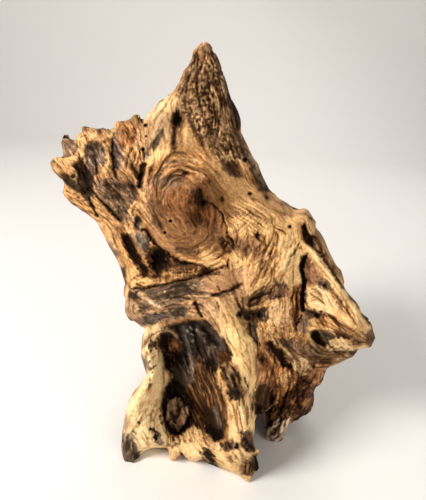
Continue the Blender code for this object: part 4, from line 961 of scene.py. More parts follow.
def below_knot():
    # the knot is browner than the wood round it
    wash([(152, 178), (168, 160), (190, 158), (208, 170), (220, 190), (222, 214), (216, 238), (200, 250), (178, 246), (160, 232), (150, 208)], rgb(104, 72, 46), 0.30, 9)
    # broad dark groove down the left flank, its darkness painted shade
    ridge([(112, 226), (122, 238), (127, 252), (134, 266), (144, 277)], 4.0, 1.4, rgb(214, 164, 106), 0.7)
    stroke([(123, 231), (128, 243), (133, 255), (140, 265), (147, 273), (151, 276)], 5.2, 4.0, rgb(30, 20, 13), 1.0, "flat", ends=0.14)
    stroke([(126, 240), (132, 254), (139, 264)], 1.7, 1.0, BLACK, 0.9)
    spot(117.8, 228.4, 1.3, 1.3, DARK, 0.9, 1.0)
    wash([(110, 244), (116, 247), (120, 256), (120, 262), (114, 256), (108, 246)], rgb(94, 74, 58), 0.85, 2)
    stroke([(107, 236), (112, 242), (117, 250)], 2.6, -0.6, rgb(226, 184, 138), 0.8)
    ridge([(116, 257), (120, 266), (123, 276)], 1.8, 0.6, rgb(224, 180, 132), 0.8)
    stroke([(122, 264), (124, 274), (126.5, 283)], 2.8, 1.4, rgb(60, 48, 40), 0.9)
    line([(123, 272), (125.5, 280), (128, 286)], 1.2, BLACK, 0.9, 0.8)
    chips([(120, 250), (134, 262), (138, 282), (126, 284), (120, 264)], rgb(130, 92, 58), 0.7, 0.7)
    wash([(128, 268), (144, 276), (150, 284), (136, 288), (128, 284)], rgb(228, 182, 118), 0.7, 4, depth=-0.6)
    lines([[(130, 274), (138, 280), (146, 284)], [(134, 268), (142, 276), (150, 281)]], 1.2, rgb(160, 112, 64), 0.6)
    stroke([(128, 287), (134, 288.5), (141, 288.5)], 1.6, 1.4, rgb(40, 27, 18), 0.95)
    spot(138.5, 285, 2.6, 1.6, rgb(50, 34, 22), 0.8)
    stroke([(138, 286), (146, 286), (152, 284)], 1.6, 0.6, rgb(110, 74, 44), 0.7)
    # black pit between knot and lip
    wash([(149, 247), (160, 248), (172, 256), (184, 262), (196, 266), (196, 270), (180, 270), (166, 271), (158, 276), (152, 270), (148, 262)], rgb(84, 58, 38), 0.95, 3, depth=2.0)
    wash([(153.5, 256), (156, 251), (162, 250), (167, 254), (168, 262), (164, 269), (158.5, 273), (154, 267)], BLACK, 1.0, 1.6, depth=4.5)
    spot(158.5, 272, 2.2, 3.0, BLACK, 0.95, 1.6)
    chips([(164, 254), (196, 264), (192, 270), (166, 270)], rgb(168, 120, 76), 0.65, 0.8)
    lines([[(168, 262), (171, 268)], [(174, 260), (178, 267)], [(170, 256), (178, 259)]], 1.6, rgb(28, 20, 15), 0.9)
    ridge([(170, 262), (180, 266), (190, 268)], 1.5, 0.5, rgb(138, 104, 76), 0.6)
    stroke([(174, 259), (182, 262), (190, 263.5), (196, 265), (202, 265.5), (206, 270), (211, 276)], 1.7, 2.4, BLACK, 1.0, ends=0.06)
    ridge([(176, 254), (186, 259), (196, 261.5), (204, 263)], 2.2, 0.8, rgb(222, 174, 114), 0.8)
    # golden fibrous lip and the shelf groove below it
    stroke([(150, 279), (162, 276), (176, 275), (190, 273), (202, 269)], 5.0, -1.6, rgb(186, 138, 84), 0.95, ends=0.08)
    chips([(150, 272), (200, 264), (204, 276), (152, 286)], rgb(110, 74, 42), 0.7, 0.8)
    for u, v, lean in ((155, 277, 2), (160, 278, 1), (166, 277, 1), (168.5, 276, 0), (174, 275, -1), (181, 274, -1), (187, 273, -1), (192, 272, -2), (197, 270, -2), (178, 273, 0), (184, 274, 0)):
        line([(u, v - 4), (u + lean * 0.4, v), (u + lean, v + 4)], 1.1, rgb(84, 54, 30), 0.85, 0.8)
    wash([(151, 274), (160, 277), (160, 286), (152, 287), (148, 282)], rgb(176, 134, 92), 0.6, 3)
    stroke([(132, 289), (142, 289.5), (152, 286.5), (162, 285), (170, 283), (180, 281), (190, 278.5), (200, 275), (208, 272.5), (216, 269)], 1.9, 2.8, rgb(22, 14, 10), 1.0, ends=0.06)
    wash([(194, 276), (202, 271), (212, 267), (220, 268), (218, 273), (210, 277), (200, 280)], rgb(48, 30, 18), 0.92, 3, depth=1.6)
    stroke([(214, 270), (222, 268), (229, 264)], 2.6, 1.0, rgb(84, 54, 32), 0.85)
    line([(200, 264), (203, 270), (208, 276), (213, 283)], 1.1, rgb(22, 14, 10), 0.95, 1.2)
    wash([(204, 262), (214, 262), (218, 268), (210, 272), (203, 270)], rgb(104, 70, 40), 0.8, 3)
    wash([(203, 254), (214, 256), (220, 263), (212, 267), (204, 264)], rgb(228, 182, 122), 0.85, 4)
    line([(228.6, 257), (227.6, 263), (228.4, 270)], 1.4, rgb(30, 18, 12), 0.95, 1.8)
    lines([[(214, 262), (222, 254), (228, 246)], [(206, 266), (216, 264), (226, 256)]], 1.3, rgb(150, 106, 62), 0.6)


def waist():
    wash([(150, 288), (176, 282), (200, 278), (212, 290), (206, 306), (196, 318), (170, 322), (146, 326), (140, 312), (144, 296)], rgb(124, 100, 80), 0.8, 6, rough=0.6)
    wash([(204, 278), (230, 272), (244, 278), (236, 288), (214, 292), (202, 290)], rgb(196, 150, 106), 0.8, 5, rough=0.25)
    wash([(158, 286), (190, 280), (196, 292), (190, 300), (174, 302), (160, 298)], rgb(86, 70, 56), 0.85, 4)
    wash([(160, 298), (184, 296), (196, 302), (182, 308), (164, 308)], rgb(140, 112, 88), 0.75, 4)
    chips([(152, 286), (200, 278), (206, 300), (190, 312), (150, 320)], rgb(46, 37, 30), 0.75, 0.8)
    chips([(152, 286), (200, 278), (206, 300), (190, 312), (150, 320)], rgb(196, 160, 122), 1.05, 0.8)
    lines([[(166, 290), (176, 287), (188, 286)], [(168, 299), (180, 296), (192, 294)], [(154, 294), (160, 300), (168, 306)], [(178, 300), (186, 304), (192, 310)], [(150, 316), (160, 313), (170, 312)]], 1.0, rgb(34, 26, 20), 0.85, 0.8)
    lines([[(158, 290), (168, 286), (180, 284)], [(164, 294), (172, 288), (182, 287), (190, 286)], [(166, 300), (169, 294), (174, 290)], [(184, 294), (190, 290), (196, 292)], [(186, 284), (190, 290)]], 1.6, rgb(62, 52, 44), 0.75, 0.7)
    spot(176, 286.5, 8, 2.6, rgb(62, 52, 44), 0.8, 0.5, angle=-8)
    # pale slanting band with the grey wedge above it
    wash([(141, 290), (150, 289), (158, 292), (161, 303), (154, 300), (146, 296)], rgb(96, 80, 64), 0.9, 2.5, depth=1.0)
    ridge([(132, 290), (140, 294), (148, 300), (156, 306), (164, 311)], 3.8, 1.6, rgb(224, 186, 144), 0.95, ends=0.1)
    wash([(137, 298), (144, 302), (152, 308), (150, 312), (142, 310), (137, 304)], rgb(116, 96, 76), 0.85, 3)
    lines([[(140, 303), (148, 308)], [(139, 306), (147, 311)]], 1.0, rgb(70, 56, 44), 0.7)
    ridge([(145, 314), (154, 312), (162, 311), (170, 309.5)], 2.4, 1.0, rgb(222, 180, 132), 0.9)
    # dark stains under the band
    wash([(146, 318), (154, 315), (164, 312), (167, 316), (160, 322), (150, 325), (146, 327)], rgb(66, 56, 50), 0.92, 3, depth=0.8)
    wash([(169, 312), (174, 307), (182, 306), (188, 312), (184, 317), (174, 317)], rgb(56, 48, 42), 0.92, 3.5, depth=0.8)
    chips([(146, 317), (166, 312), (188, 310), (184, 318), (152, 325)], rgb(124, 102, 82), 0.75, 0.7)
    stroke([(150, 327), (164, 324), (180, 321), (196, 319), (206, 321)], 3.6, -0.8, rgb(164, 116, 70), 0.85)
    stroke([(158, 329), (172, 326), (186, 323)], 1.6, 0.8, rgb(96, 62, 36), 0.8)
    wash([(184, 304), (196, 298), (202, 306), (196, 314), (188, 312)], rgb(190, 144, 98), 0.8, 4)
    # black V and the pale field right of it
    wash([(202, 298), (226, 296), (234, 312), (228, 328), (212, 330), (204, 314)], rgb(196, 154, 112), 0.8, 5, rough=0.4)
    wash([(216, 306), (234, 304), (240, 330), (230, 340), (220, 326)], rgb(226, 182, 126), 0.7, 6)
    chips([(202, 306), (218, 306), (222, 330), (212, 330)], rgb(132, 100, 72), 0.7, 0.7)
    stroke([(194.5, 300), (196.5, 306), (199.5, 312), (203, 319)], 2.0, 2.6, BLACK, 1.0)
    stroke([(202, 318), (207, 324), (213, 332), (221, 342)], 2.4, 1.2, rgb(32, 24, 20), 0.9)
    stroke([(203, 300), (202, 308)], 1.2, 0.5, rgb(120, 86, 58), 0.7)
    # the groove under the shelf
    stroke([(208, 296), (216, 294.5), (224, 292), (232, 289.5), (239, 285.5), (244, 281)], 2.8, 2.6, rgb(34, 24, 18), 1.0, ends=0.15)
    stroke([(218, 296), (228, 295), (238, 291)], 2.0, 0.4, rgb(96, 72, 52), 0.7)
    lines([[(216.5, 285), (218.5, 287.5), (221, 290.5)], [(216, 301), (218, 306), (219.5, 311)]], 1.1, rgb(70, 46, 30), 0.9, 1.0)
    spot(235, 275.5, 1.5, 1.3, rgb(150, 96, 52), 0.7)
    # knob on the left
    wash([(125, 300), (131, 300), (138, 304), (140, 314), (134, 321), (127, 317), (124, 308)], rgb(178, 142, 104), 0.9, 2, depth=-1.0)
    wash([(129, 291), (136, 292), (141, 298), (136, 302), (130, 300)], rgb(52, 42, 34), 0.95, 2.5, depth=1.6)
    ridge([(126, 288), (127, 294), (126, 300)], 1.8, 0.6, rgb(214, 176, 136), 0.8)
    stroke([(124, 284), (124.5, 292)], 1.8, 0.4, rgb(110, 86, 64), 0.8)
    lines([[(126, 304), (125, 310), (128, 317), (132, 320)], [(130, 303), (128, 310), (131, 317)], [(134, 303), (133, 310), (136, 316)]], 1.1, rgb(92, 66, 44), 0.8)
    ridge([(136, 304), (138, 312), (141, 318), (145, 324)], 2.2, 0.8, rgb(218, 180, 134), 0.8)
    chips([(138, 306), (148, 314), (147, 326), (140, 322)], rgb(70, 54, 42), 0.6, 0.8)


def shoulder():
    wash([(220, 212), (234, 208), (242, 222), (238, 238), (226, 238)], rgb(156, 114, 74), 0.7, 5)
    wash([(214, 160), (230, 176), (248, 188), (240, 200), (226, 192), (216, 178)], rgb(188, 146, 96), 0.6, 6)
    wash([(240, 178), (258, 192), (276, 196), (286, 206), (272, 214), (252, 206), (240, 196)], rgb(208, 162, 112), 0.6, 6)
    wash([(284, 214), (300, 212), (312, 214), (306, 222), (300, 232), (294, 240), (284, 236)], rgb(234, 188, 128), 0.85, 5)
    wash([(270, 206), (280, 202), (284, 214), (280, 226), (270, 222)], rgb(170, 128, 82), 0.7, 4)
    stroke([(281, 202), (284, 208), (286, 216)], 2.0, 0.6, rgb(110, 78, 48), 0.75)
    stroke([(280, 200), (286, 204), (292, 208)], 2.6, 0.3, rgb(134, 98, 64), 0.7)
    chips([(278, 200), (292, 206), (290, 220), (280, 222)], rgb(126, 88, 54), 0.7, 0.7)
    spot(247, 187.5, 2.2, 1.0, rgb(84, 56, 34), 0.85, 0.6, angle=40)
    spot(250, 193.6, 2.3, 1.9, BLACK, 1.0, 2.4, wobble=0.4)
    spot(266.2, 198.4, 1.3, 2.9, BLACK, 1.0, 2.2, angle=-40, wobble=0.4)
    spot(254, 202, 1.2, 2.4, rgb(132, 88, 50), 0.8, 0.5, angle=-30)
    spot(257.6, 234.5, 4.2, 6.2, rgb(124, 86, 50), 0.85, 1.4)
    spot(257.6, 234.5, 2.3, 4.0, BLACK, 1.0, 3.0, wobble=0.4)
    spot(289.6, 226.8, 2.5, 2.3, BLACK, 1.0, 3.0, wobble=0.4)
    stroke([(258, 222), (258, 228)], 1.0, 0.6, rgb(130, 86, 50), 0.6)
    # rippled cream below
    wash([(230, 206), (252, 206), (272, 214), (276, 232), (252, 236), (236, 232)], rgb(230, 184, 124), 0.75, 7, rough=0.7)
    lines([[(238, 220), (243, 214), (249, 209)], [(240, 222), (246, 216), (252, 211)], [(236, 217), (240, 212)], [(244, 225), (249, 219), (256, 214)]], 1.0, rgb(150, 106, 62), 0.75, 0.6)
    for k in range(7):
        u = 240 + 5 * k
        line([(u, 232 - 1.2 * k), (u + 3, 226 - k), (u + 8, 222 - k)], 1.0, rgb(164, 116, 70), 0.5, 0.5)
    # hooked hollow under the shoulder
    wash([(301.5, 226), (304.5, 224), (307, 229), (309, 234), (314, 236), (318, 238), (322, 246), (323, 254), (317, 253), (309, 246), (303, 240)], rgb(18, 12, 9), 1.0, 1.3, depth=4.0, wobble=0.4)
    spot(305.5, 238.5, 2.4, 2.0, rgb(96, 64, 40), 0.8, soft=0.8)
    wash([(305, 212), (311, 213), (314, 220), (316, 228), (314.5, 234), (311, 235.5), (309, 230), (307.5, 224), (305, 218)], rgb(222, 178, 124), 0.97, 1.3, depth=-2.0, wobble=0.4)
    lines([[(306, 216), (309, 226), (311, 233)], [(309.5, 216), (312.5, 226)]], 1.0, rgb(140, 98, 60), 0.8, 0.5)
    wash([(305, 209), (311, 211), (316, 222), (315, 228), (309, 220), (305, 214)], rgb(152, 118, 78), 0.85, 2)
    spot(305.5, 213, 1.6, 1.3, rgb(60, 38, 22), 0.9, 0.8)
    spot(308.5, 217, 2.0, 1.6, rgb(78, 50, 30), 0.9, 0.8)
    spot(310, 219.5, 1.4, 1.0, rgb(70, 44, 26), 0.8, 0.6)
    ridge([(300, 210), (304, 209), (308, 211)], 2.2, 0.5, rgb(222, 178, 124), 0.8)
    spot(300.5, 224.5, 1.5, 1.0, rgb(176, 112, 60), 0.7)
    # rim behind the wedge
    wash([(316, 228), (324, 236), (332, 254), (344, 274), (344, 288), (352, 296), (361, 306), (372, 322), (376, 334), (368, 330), (356, 306), (340, 284), (326, 264), (314, 248)], rgb(150, 114, 76), 0.97, 2, wobble=0.8)
    stroke([(318, 250), (325, 260), (333, 271), (341, 283)], 3.0, 1.6, rgb(70, 48, 32), 0.95, ends=0.1)
    stroke([(318, 254), (326, 264), (335, 276), (343, 287), (352, 298), (360, 310)], 1.7, 2.0, rgb(34, 23, 16), 0.95, ends=0.08)
    stroke([(318, 236), (325, 250), (334, 264), (342, 277)], 3.2, -1.0, rgb(150, 116, 78), 0.85, ends=0.15)
    stroke([(324, 250), (330, 262), (338, 272)], 1.8, 0.6, rgb(58, 40, 28), 0.85)
    spot(324.5, 255.5, 2.2, 2.2, rgb(38, 26, 18), 0.85, 0.8)
    line([(330, 258), (335, 265), (340, 272)], 0.9, rgb(196, 158, 110), 0.7, -0.4)
    stroke([(344, 288), (351, 296), (358, 304)], 2.6, 0.6, rgb(56, 40, 28), 0.9)
    stroke([(361, 312), (366, 319), (371, 327)], 4.4, 0.8, rgb(42, 28, 19), 0.95)
    chips([(358, 308), (374, 326), (372, 334), (362, 318)], rgb(112, 84, 58), 0.9, 0.7)


def wavy_centre():
    # brown patch below the shoulder
    wash([(236, 238), (254, 238), (262, 250), (258, 262), (244, 258), (234, 250)], rgb(146, 108, 78), 0.85, 6)
    chips([(236, 238), (262, 240), (262, 262), (240, 260)], rgb(96, 66, 44), 0.6, 0.8)
    lines([[(249, 244), (251, 250), (255, 256)], [(244, 248), (246, 256)], [(236, 228), (238, 238), (236, 244)], [(254, 246), (258, 252)]], 1.4, rgb(78, 52, 36), 0.8, 0.8)
    # cream knob and its curved lines
    wash([(229, 258), (234, 252), (240, 256), (244, 264), (236, 270), (229, 268)], rgb(238, 194, 134), 0.9, 3, depth=-0.8)
    for r in (6, 9.5, 13, 17):
        line([(234 + r * math.cos(t), 258 + r * 0.85 * math.sin(t)) for t in (2.0, 1.5, 1.0, 0.5, 0.0)], 1.0, rgb(168, 120, 72), 0.55, 0.5)
    wash([(234, 268), (250, 268), (258, 276), (250, 290), (240, 284), (230, 278)], rgb(214, 168, 122), 0.7, 6, rough=0.25)
    # ripples running down to the left
    bundle = [
        [(276, 222), (273, 236), (268, 248), (262, 262)], [(280, 228), (277, 240), (271, 254), (266, 268)],
        [(271, 240), (264, 254), (260, 266)], [(266, 256), (262, 266), (259, 276), (256, 286)],
        [(270, 256), (267, 266), (264, 276), (260, 288)], [(274, 252), (271, 264), (272, 276), (268, 286)],
        [(262, 246), (254, 258), (248, 268)], [(268, 232), (262, 244), (254, 254)],
        [(278, 246), (275, 258), (275, 270), (273, 280)], [(258, 268), (255, 278), (250, 288)],
    ]
    lines(bundle, 1.2, rgb(142, 98, 56), 0.8, 0.9)
    lines([[(263, 258), (260.5, 266), (260, 271)], [(267, 259), (264, 266), (262, 271)], [(272, 250), (269, 258)]], 1.5, rgb(88, 56, 32), 0.85, 1.2)
    lines([[(268, 250), (264, 260)], [(272, 260), (269, 270)], [(258, 262), (255, 272)], [(264, 278), (258, 288)], [(254, 250), (248, 260)], [(284, 236), (280, 250), (278, 262)]], 1.4, rgb(246, 206, 146), 0.7, -0.8)
    lines([[(276, 230), (278, 240), (276, 248)], [(281, 234), (280, 244)]], 2.0, rgb(136, 96, 56), 0.7, 0.8)
    # dark converging fibres
    for k in range(6):
        line([(246 + 1.2 * k, 302 + 0.9 * k), (252 + 1.4 * k, 295 + 1.7 * k), (260 + 1.2 * k, 290 + 1.9 * k), (268 + 1.0 * k, 285 + 1.9 * k), (276 + 0.6 * k, 278 + 2.0 * k)], 1.0, rgb(84, 54, 32), 0.85, 1.2, ends=0.25)
    lines([[(247, 303), (252, 298), (258, 294)], [(250, 301), (256, 298), (262, 297)], [(249, 306), (255, 303), (260, 300)]], 1.6, rgb(26, 18, 14), 0.95, 1.2)
    stroke([(246, 304), (252, 305), (258, 303)], 2.6, 0.8, rgb(60, 44, 32), 0.85)
    # grey depression with two black holes
    wash([(239, 310), (246, 309), (254, 311), (262, 309), (264, 317), (259, 323), (252, 321), (246, 320), (239, 320)], rgb(98, 78, 60), 0.95, 3.0, depth=2.0, wobble=1.0)
    chips([(239, 308), (264, 308), (262, 324), (240, 322)], rgb(44, 33, 25), 0.35, 0.85)
    wash([(246, 298), (254, 294), (266, 290), (272, 294), (264, 302), (256, 306), (248, 306)], rgb(110, 82, 56), 0.75, 4, depth=0.8)
    for k in range(7):
        line([(246 + k, 305 - 0.6 * k), (252 + 1.6 * k, 299 - 0.5 * k), (260 + 1.8 * k, 294 - 0.2 * k), (266 + 1.6 * k, 290)], 1.3, (rgb(30, 22, 17), rgb(30, 22, 17), rgb(160, 118, 76))[k % 3], 0.9, (1.2, 1.0, -0.5)[k % 3], ends=0.25)
    lines([[(242, 312), (250, 314), (258, 313)], [(244, 317), (251, 318)], [(248, 310), (256, 317)]], 1.0, rgb(34, 25, 19), 0.85, 0.6)
    spot(238.8, 315.5, 2.6, 4.2, BLACK, 1.0, 3.0, wobble=0.3)
    spot(259.5, 315.5, 2.6, 3.4, BLACK, 1.0, 2.6, wobble=0.3)
    stroke([(242, 308), (252, 308.5), (262, 306)], 1.4, -0.6, rgb(196, 152, 104), 0.8)
    wash([(241, 319), (248, 320), (250, 333), (244, 334), (240, 326)], rgb(142, 102, 66), 0.85, 3)
    stroke([(249.5, 320), (249.5, 330), (252, 337), (257, 343), (262, 349)], 2.4, 2.4, rgb(28, 20, 16), 1.0)
    wash([(251, 321), (258, 325), (258, 334), (263, 345), (257, 343), (251, 332)], rgb(86, 72, 62), 0.85, 2.5)
    lines([[(253, 322), (255, 332), (259, 341)], [(256, 324), (258, 333), (262, 342)]], 1.0, rgb(34, 27, 22), 0.85, 0.7)
    lines([[(260, 322), (264, 314), (268, 306)], [(264, 325), (269, 315), (274, 305)]], 1.2, rgb(70, 60, 58), 0.85, 0.6)
    lines([[(236, 297), (238, 303), (240, 310)], [(242.5, 296), (243, 303), (242.5, 309)]], 1.6, rgb(60, 38, 24), 0.9, 1.2)
    # slate streak and purple-brown stain
    stroke([(264, 323), (268, 314), (272, 306), (275, 301)], 2.4, 0.8, rgb(98, 86, 82), 0.9)
    wash([(275, 280), (281, 282), (287, 288), (287, 296), (280, 298), (272, 298), (276, 290)], rgb(112, 80, 66), 0.9, 3)
    chips([(272, 280), (288, 286), (288, 300), (272, 300)], rgb(66, 46, 38), 0.5, 0.8)
    stroke([(268, 299), (276, 297), (284, 297)], 1.6, 1.0, rgb(48, 34, 30), 0.9)
    spot(275.5, 279, 1.8, 2.2, rgb(60, 42, 34), 0.85, 0.8)
    # cream plate, scored with thin slanting lines
    wash([(283, 252), (292, 246), (302, 250), (302, 262), (300, 272), (302, 282), (296, 290), (288, 288), (282, 276), (280, 264)], rgb(248, 210, 152), 0.95, 3, depth=-1.6, rough=0.3)
    for k in range(9):
        line([(284, 266 + 3.2 * k), (292, 260 + 3.0 * k), (301, 254 + 3.0 * k)], 0.8, rgb(196, 148, 96), 0.55, 0.4, ends=0.3)
    stroke([(300, 242), (296.5, 247), (294, 252), (290, 257)], 1.7, 1.8, rgb(104, 66, 38), 0.95)
    stroke([(300, 247), (303, 250)], 1.8, 1.0, rgb(110, 72, 44), 0.85)
    wash([(279, 240), (292, 234), (298, 240), (288, 256), (282, 262)], rgb(240, 196, 136), 0.7, 4)
    wash([(280, 264), (286, 272), (284, 280), (278, 278)], rgb(190, 142, 98), 0.7, 3)
    # cream lobe under it
    wash([(272, 302), (282, 300), (291, 300), (292, 312), (288, 326), (276, 332), (268, 326), (268, 312)], rgb(232, 188, 138), 0.9, 4, depth=-1.2)
    wash([(260, 326), (268, 324), (284, 330), (286, 338), (270, 342), (260, 338)], rgb(226, 178, 118), 0.8, 4, rough=0.9)
    ridge([(258, 326), (258.5, 334), (264, 343)], 1.8, 1.2, rgb(240, 196, 136), 0.85)
    # brown fibres beside the crack
    wash([(291, 288), (301, 284), (302, 300), (300, 318), (294, 326), (289, 322), (290, 306)], rgb(150, 104, 64), 0.95, 2.5, depth=0.6, rough=0.8)
    lines([[(294, 288), (292, 300), (293, 312), (290, 322)], [(298, 286), (296, 300), (297, 314), (293, 324)]], 1.4, rgb(48, 30, 18), 0.9, 1.4)
    lines([[(296, 290), (294, 304), (294, 316)], [(300, 292), (299, 306)]], 1.1, rgb(190, 136, 84), 0.75, -0.6)
    chips([(262, 326), (300, 318), (300, 344), (264, 344)], rgb(112, 74, 42), 0.35, 0.8, PEBBLE)
    chips([(262, 326), (300, 318), (300, 344), (264, 344)], rgb(236, 190, 130), 1.2, 0.7, PEBBLE)


def wedge():
    # the folded ridge: apex under the hooked hollow, arms down to both sides
    wash([(300, 242), (308, 244), (320, 258), (334, 276), (350, 296), (362, 314), (370, 332), (358, 330), (344, 308), (328, 288), (312, 268), (303, 254)], rgb(232, 190, 132), 0.95, 2.5, depth=-1.0, rough=0.3)
    ridge([(303, 244), (311, 250), (320, 262), (331, 277), (343, 293), (355, 311), (364, 327)], 2.8, 2.4, rgb(252, 216, 160), 0.95, ends=0.08)
    stroke([(315, 247), (325, 261), (336, 276), (347, 291), (358, 307)], 1.6, 1.2, rgb(120, 84, 54), 0.9, ends=0.1)
    lines([[(310, 254), (320, 268), (331, 282)], [(325, 273), (337, 289), (349, 306)], [(340, 295), (352, 313), (362, 328)], [(318, 258), (330, 274)], [(346, 303), (357, 320)]], 0.9, rgb(164, 118, 74), 0.75, 0.5, ends=0.25)
    ridge([(298, 243), (292, 250), (287, 260), (283, 272)], 2.6, 1.6, rgb(250, 212, 152), 0.9, ends=0.15)
    # shaded valley between the ridge and the crack
    wash([(304, 257), (309, 257), (317, 268), (322, 278), (317, 284), (308, 285), (304, 272)], rgb(164, 122, 88), 0.95, 3.5, depth=1.6, rough=0.3)
    spot(308.5, 264, 3.2, 4.6, rgb(104, 68, 46), 0.85, 0.7, soft=0.9)
    spot(307.5, 279, 3.0, 4.0, rgb(112, 74, 50), 0.8, 0.5, soft=0.9)
    lines([[(307, 256), (310, 266), (309, 276)], [(312, 262), (316, 272), (318, 280)]], 1.0, rgb(120, 82, 56), 0.6, 0.5)
    # first pit, its grey halo and the brown band running down from it
    wash([(316, 281), (322, 281), (330, 285), (332, 290), (324, 291), (317, 286)], rgb(104, 84, 64), 0.95, 2, depth=1.2)
    spot(325, 285.6, 2.5, 2.5, BLACK, 1.0, 2.4, wobble=0.3)
    spot(319, 283.5, 2.4, 1.4, rgb(50, 38, 30), 0.9, 0.4)
    stroke([(329, 288), (336, 296), (343, 306), (350, 316), (358, 327)], 3.0, 1.6, rgb(126, 88, 56), 0.95, ends=0.1)
    lines([[(328, 290), (335, 299), (342, 309), (349, 319)], [(333, 291), (341, 302), (349, 314)]], 1.0, rgb(78, 52, 34), 0.85, 0.6, ends=0.2)
    # cream facet with ripples at its upper left
    wash([(307, 289), (315, 286), (324, 291), (334, 301), (339, 311), (326, 313), (312, 308), (306, 298)], rgb(246, 208, 154), 0.95, 2.5, depth=-1.0, rough=0.2)
    for k in range(5):
        line([(308, 292 + 2.6 * k), (312 + k, 289 + 2.6 * k), (318 + k, 291 + 2.8 * k), (323 + k, 296 + 2.6 * k)], 0.9, rgb(120, 82, 50), 0.85, 0.6, ends=0.2)
    ridge([(306, 304), (314, 308), (324, 312), (336, 316)], 1.8, 0.9, rgb(252, 214, 158), 0.85)
    # second pit with its long grey hollow and dark line
    wash([(304, 311), (310, 308), (318, 310), (325, 315), (323, 319), (315, 319), (308, 316)], rgb(98, 78, 60), 0.97, 1.8, depth=1.6)
    spot(316.8, 315.4, 2.8, 2.8, BLACK, 1.0, 2.4, wobble=0.3)
    line([(306, 311), (312, 312), (317, 314)], 1.2, rgb(36, 26, 20), 0.9, 0.6)
    stroke([(322, 314), (332, 318.5), (343, 325), (356, 335)], 1.5, 1.4, rgb(88, 58, 36), 0.92, ends=0.12)
    # lower face: light brown, its lines running from the pit to the tip
    wash([(304, 319), (312, 318), (328, 320), (344, 330), (334, 332), (318, 330), (306, 331)], rgb(228, 178, 118), 0.92, 3, rough=0.3)
    lines([[(312, 320), (324, 325), (338, 332)], [(318, 319), (330, 324), (344, 333)], [(327, 319), (340, 326), (354, 337)], [(308, 324), (320, 329), (330, 331)], [(338, 319), (350, 329), (362, 338)]], 1.0, rgb(142, 96, 58), 0.85, 0.7, ends=0.2)
    wash([(340, 322), (352, 330), (364, 338), (352, 337), (342, 331)], rgb(150, 106, 68), 0.8, 3)
    lines([[(330, 306), (342, 317), (354, 328)], [(336, 308), (348, 321)]], 1.0, rgb(246, 206, 148), 0.8, -0.6)
    # grey wood at the crack's foot
    wash([(300, 318), (306, 316), (309, 325), (306, 334), (301, 332), (299, 326)], rgb(120, 96, 78), 0.92, 2.5)
    lines([[(302, 318), (304, 326), (303, 334)], [(306, 318), (307, 327)]], 1.0, rgb(66, 48, 38), 0.85, 0.6)
    # black hole under the wedge, grey inside on the right
    wash([(312, 331), (322, 330), (332, 333), (336, 338), (333, 344), (326, 347), (318, 344), (312, 337)], rgb(116, 98, 80), 1.0, 1.6, depth=2.2, wobble=0.5)
    wash([(311.5, 331), (317, 330), (320, 334), (322, 339), (327, 345), (322, 346), (315.5, 341), (311.5, 336)], BLACK, 1.0, 1.2, depth=3.5, wobble=0.5)
    lines([[(322, 333), (327, 338), (330, 344)], [(327, 333), (331, 339), (332, 343)]], 1.1, rgb(64, 52, 42), 0.85, 0.6)
    stroke([(309, 330.5), (317, 328.5), (327, 330), (333, 332)], 1.4, -0.9, rgb(248, 206, 146), 0.95)
    ridge([(308.5, 333), (311, 341), (316, 347)], 1.5, 1.0, rgb(228, 184, 128), 0.9)
    # dark band and cream patch towards the tip
    wash([(332, 331), (340, 331), (352, 336), (362, 341), (360, 345), (348, 341), (337, 337)], rgb(88, 58, 38), 0.95, 2, depth=1.2)
    lines([[(334, 333), (343, 336), (352, 340)], [(332, 336), (340, 338)]], 1.2, rgb(40, 26, 17), 0.92, 0.8)
    wash([(330, 341), (336, 338.5), (346, 341), (356, 344), (352, 348), (339, 348), (331, 346)], rgb(252, 216, 160), 0.97, 1.8, depth=-1.4)
    lines([[(334, 341), (339, 346)], [(340, 341), (346, 346)], [(347, 342), (351, 346)]], 0.9, rgb(180, 134, 90), 0.7, 0.4)
    wash([(352, 335), (360, 332), (368, 335), (372, 341), (362, 343), (353, 340)], rgb(176, 130, 84), 0.85, 2.5)
    lines([[(356, 334), (364, 339), (370, 342)], [(361, 331), (367, 337)]], 1.0, rgb(96, 66, 42), 0.85, 0.5)
    wash([(367, 332), (376, 334), (377, 342), (371, 348), (366, 344)], rgb(100, 72, 48), 0.92, 1.8)
    stroke([(376, 333), (376.5, 340), (372, 347), (368, 348.5)], 1.6, 0.6, rgb(24, 16, 11), 0.97)
    stroke([(351, 339), (360, 342), (369, 343)], 1.4, 0.8, rgb(66, 42, 27), 0.92)
    stroke([(322, 347.5), (336, 349.5), (352, 349), (362, 347.5), (369, 346)], 1.5, -1.0, rgb(250, 212, 156), 0.97, wobble=0.4)
    stroke([(322, 350), (334, 352), (348, 351.5)], 1.4, 1.2, rgb(84, 56, 34), 0.92)
    spot(354, 353.5, 3.2, 3.0, rgb(28, 20, 15), 0.95)
    # the deep crack, narrow with a ragged left lip
    stroke([(306.5, 254), (305, 258), (302.5, 263), (301, 269), (302.5, 275), (304.5, 281), (303.5, 288), (302.3, 295), (302.3, 302), (303, 308), (305, 313)], 2.3, 5.0, BLACK, 1.0, "flat", ends=0.06, wobble=0.7)
    stroke([(307, 252), (307.5, 257)], 1.6, 1.0, rgb(48, 36, 28), 0.9)
    lines([[(303, 262), (300, 265)], [(302, 270), (299.5, 272)], [(303, 277), (301, 279)]], 1.3, BLACK, 0.95, 1.2)
    stroke([(305.5, 286), (305.5, 296), (305.5, 306)], 1.5, 0.0, rgb(84, 66, 52), 0.8, ends=0.2)
    stroke([(303.5, 313), (300, 318), (296.5, 323), (295.5, 328), (296.5, 333)], 1.5, 2.6, rgb(20, 14, 10), 1.0)
    ridge([(297.5, 325), (298.5, 330), (299, 336)], 1.2, 0.9, rgb(228, 184, 130), 0.85)


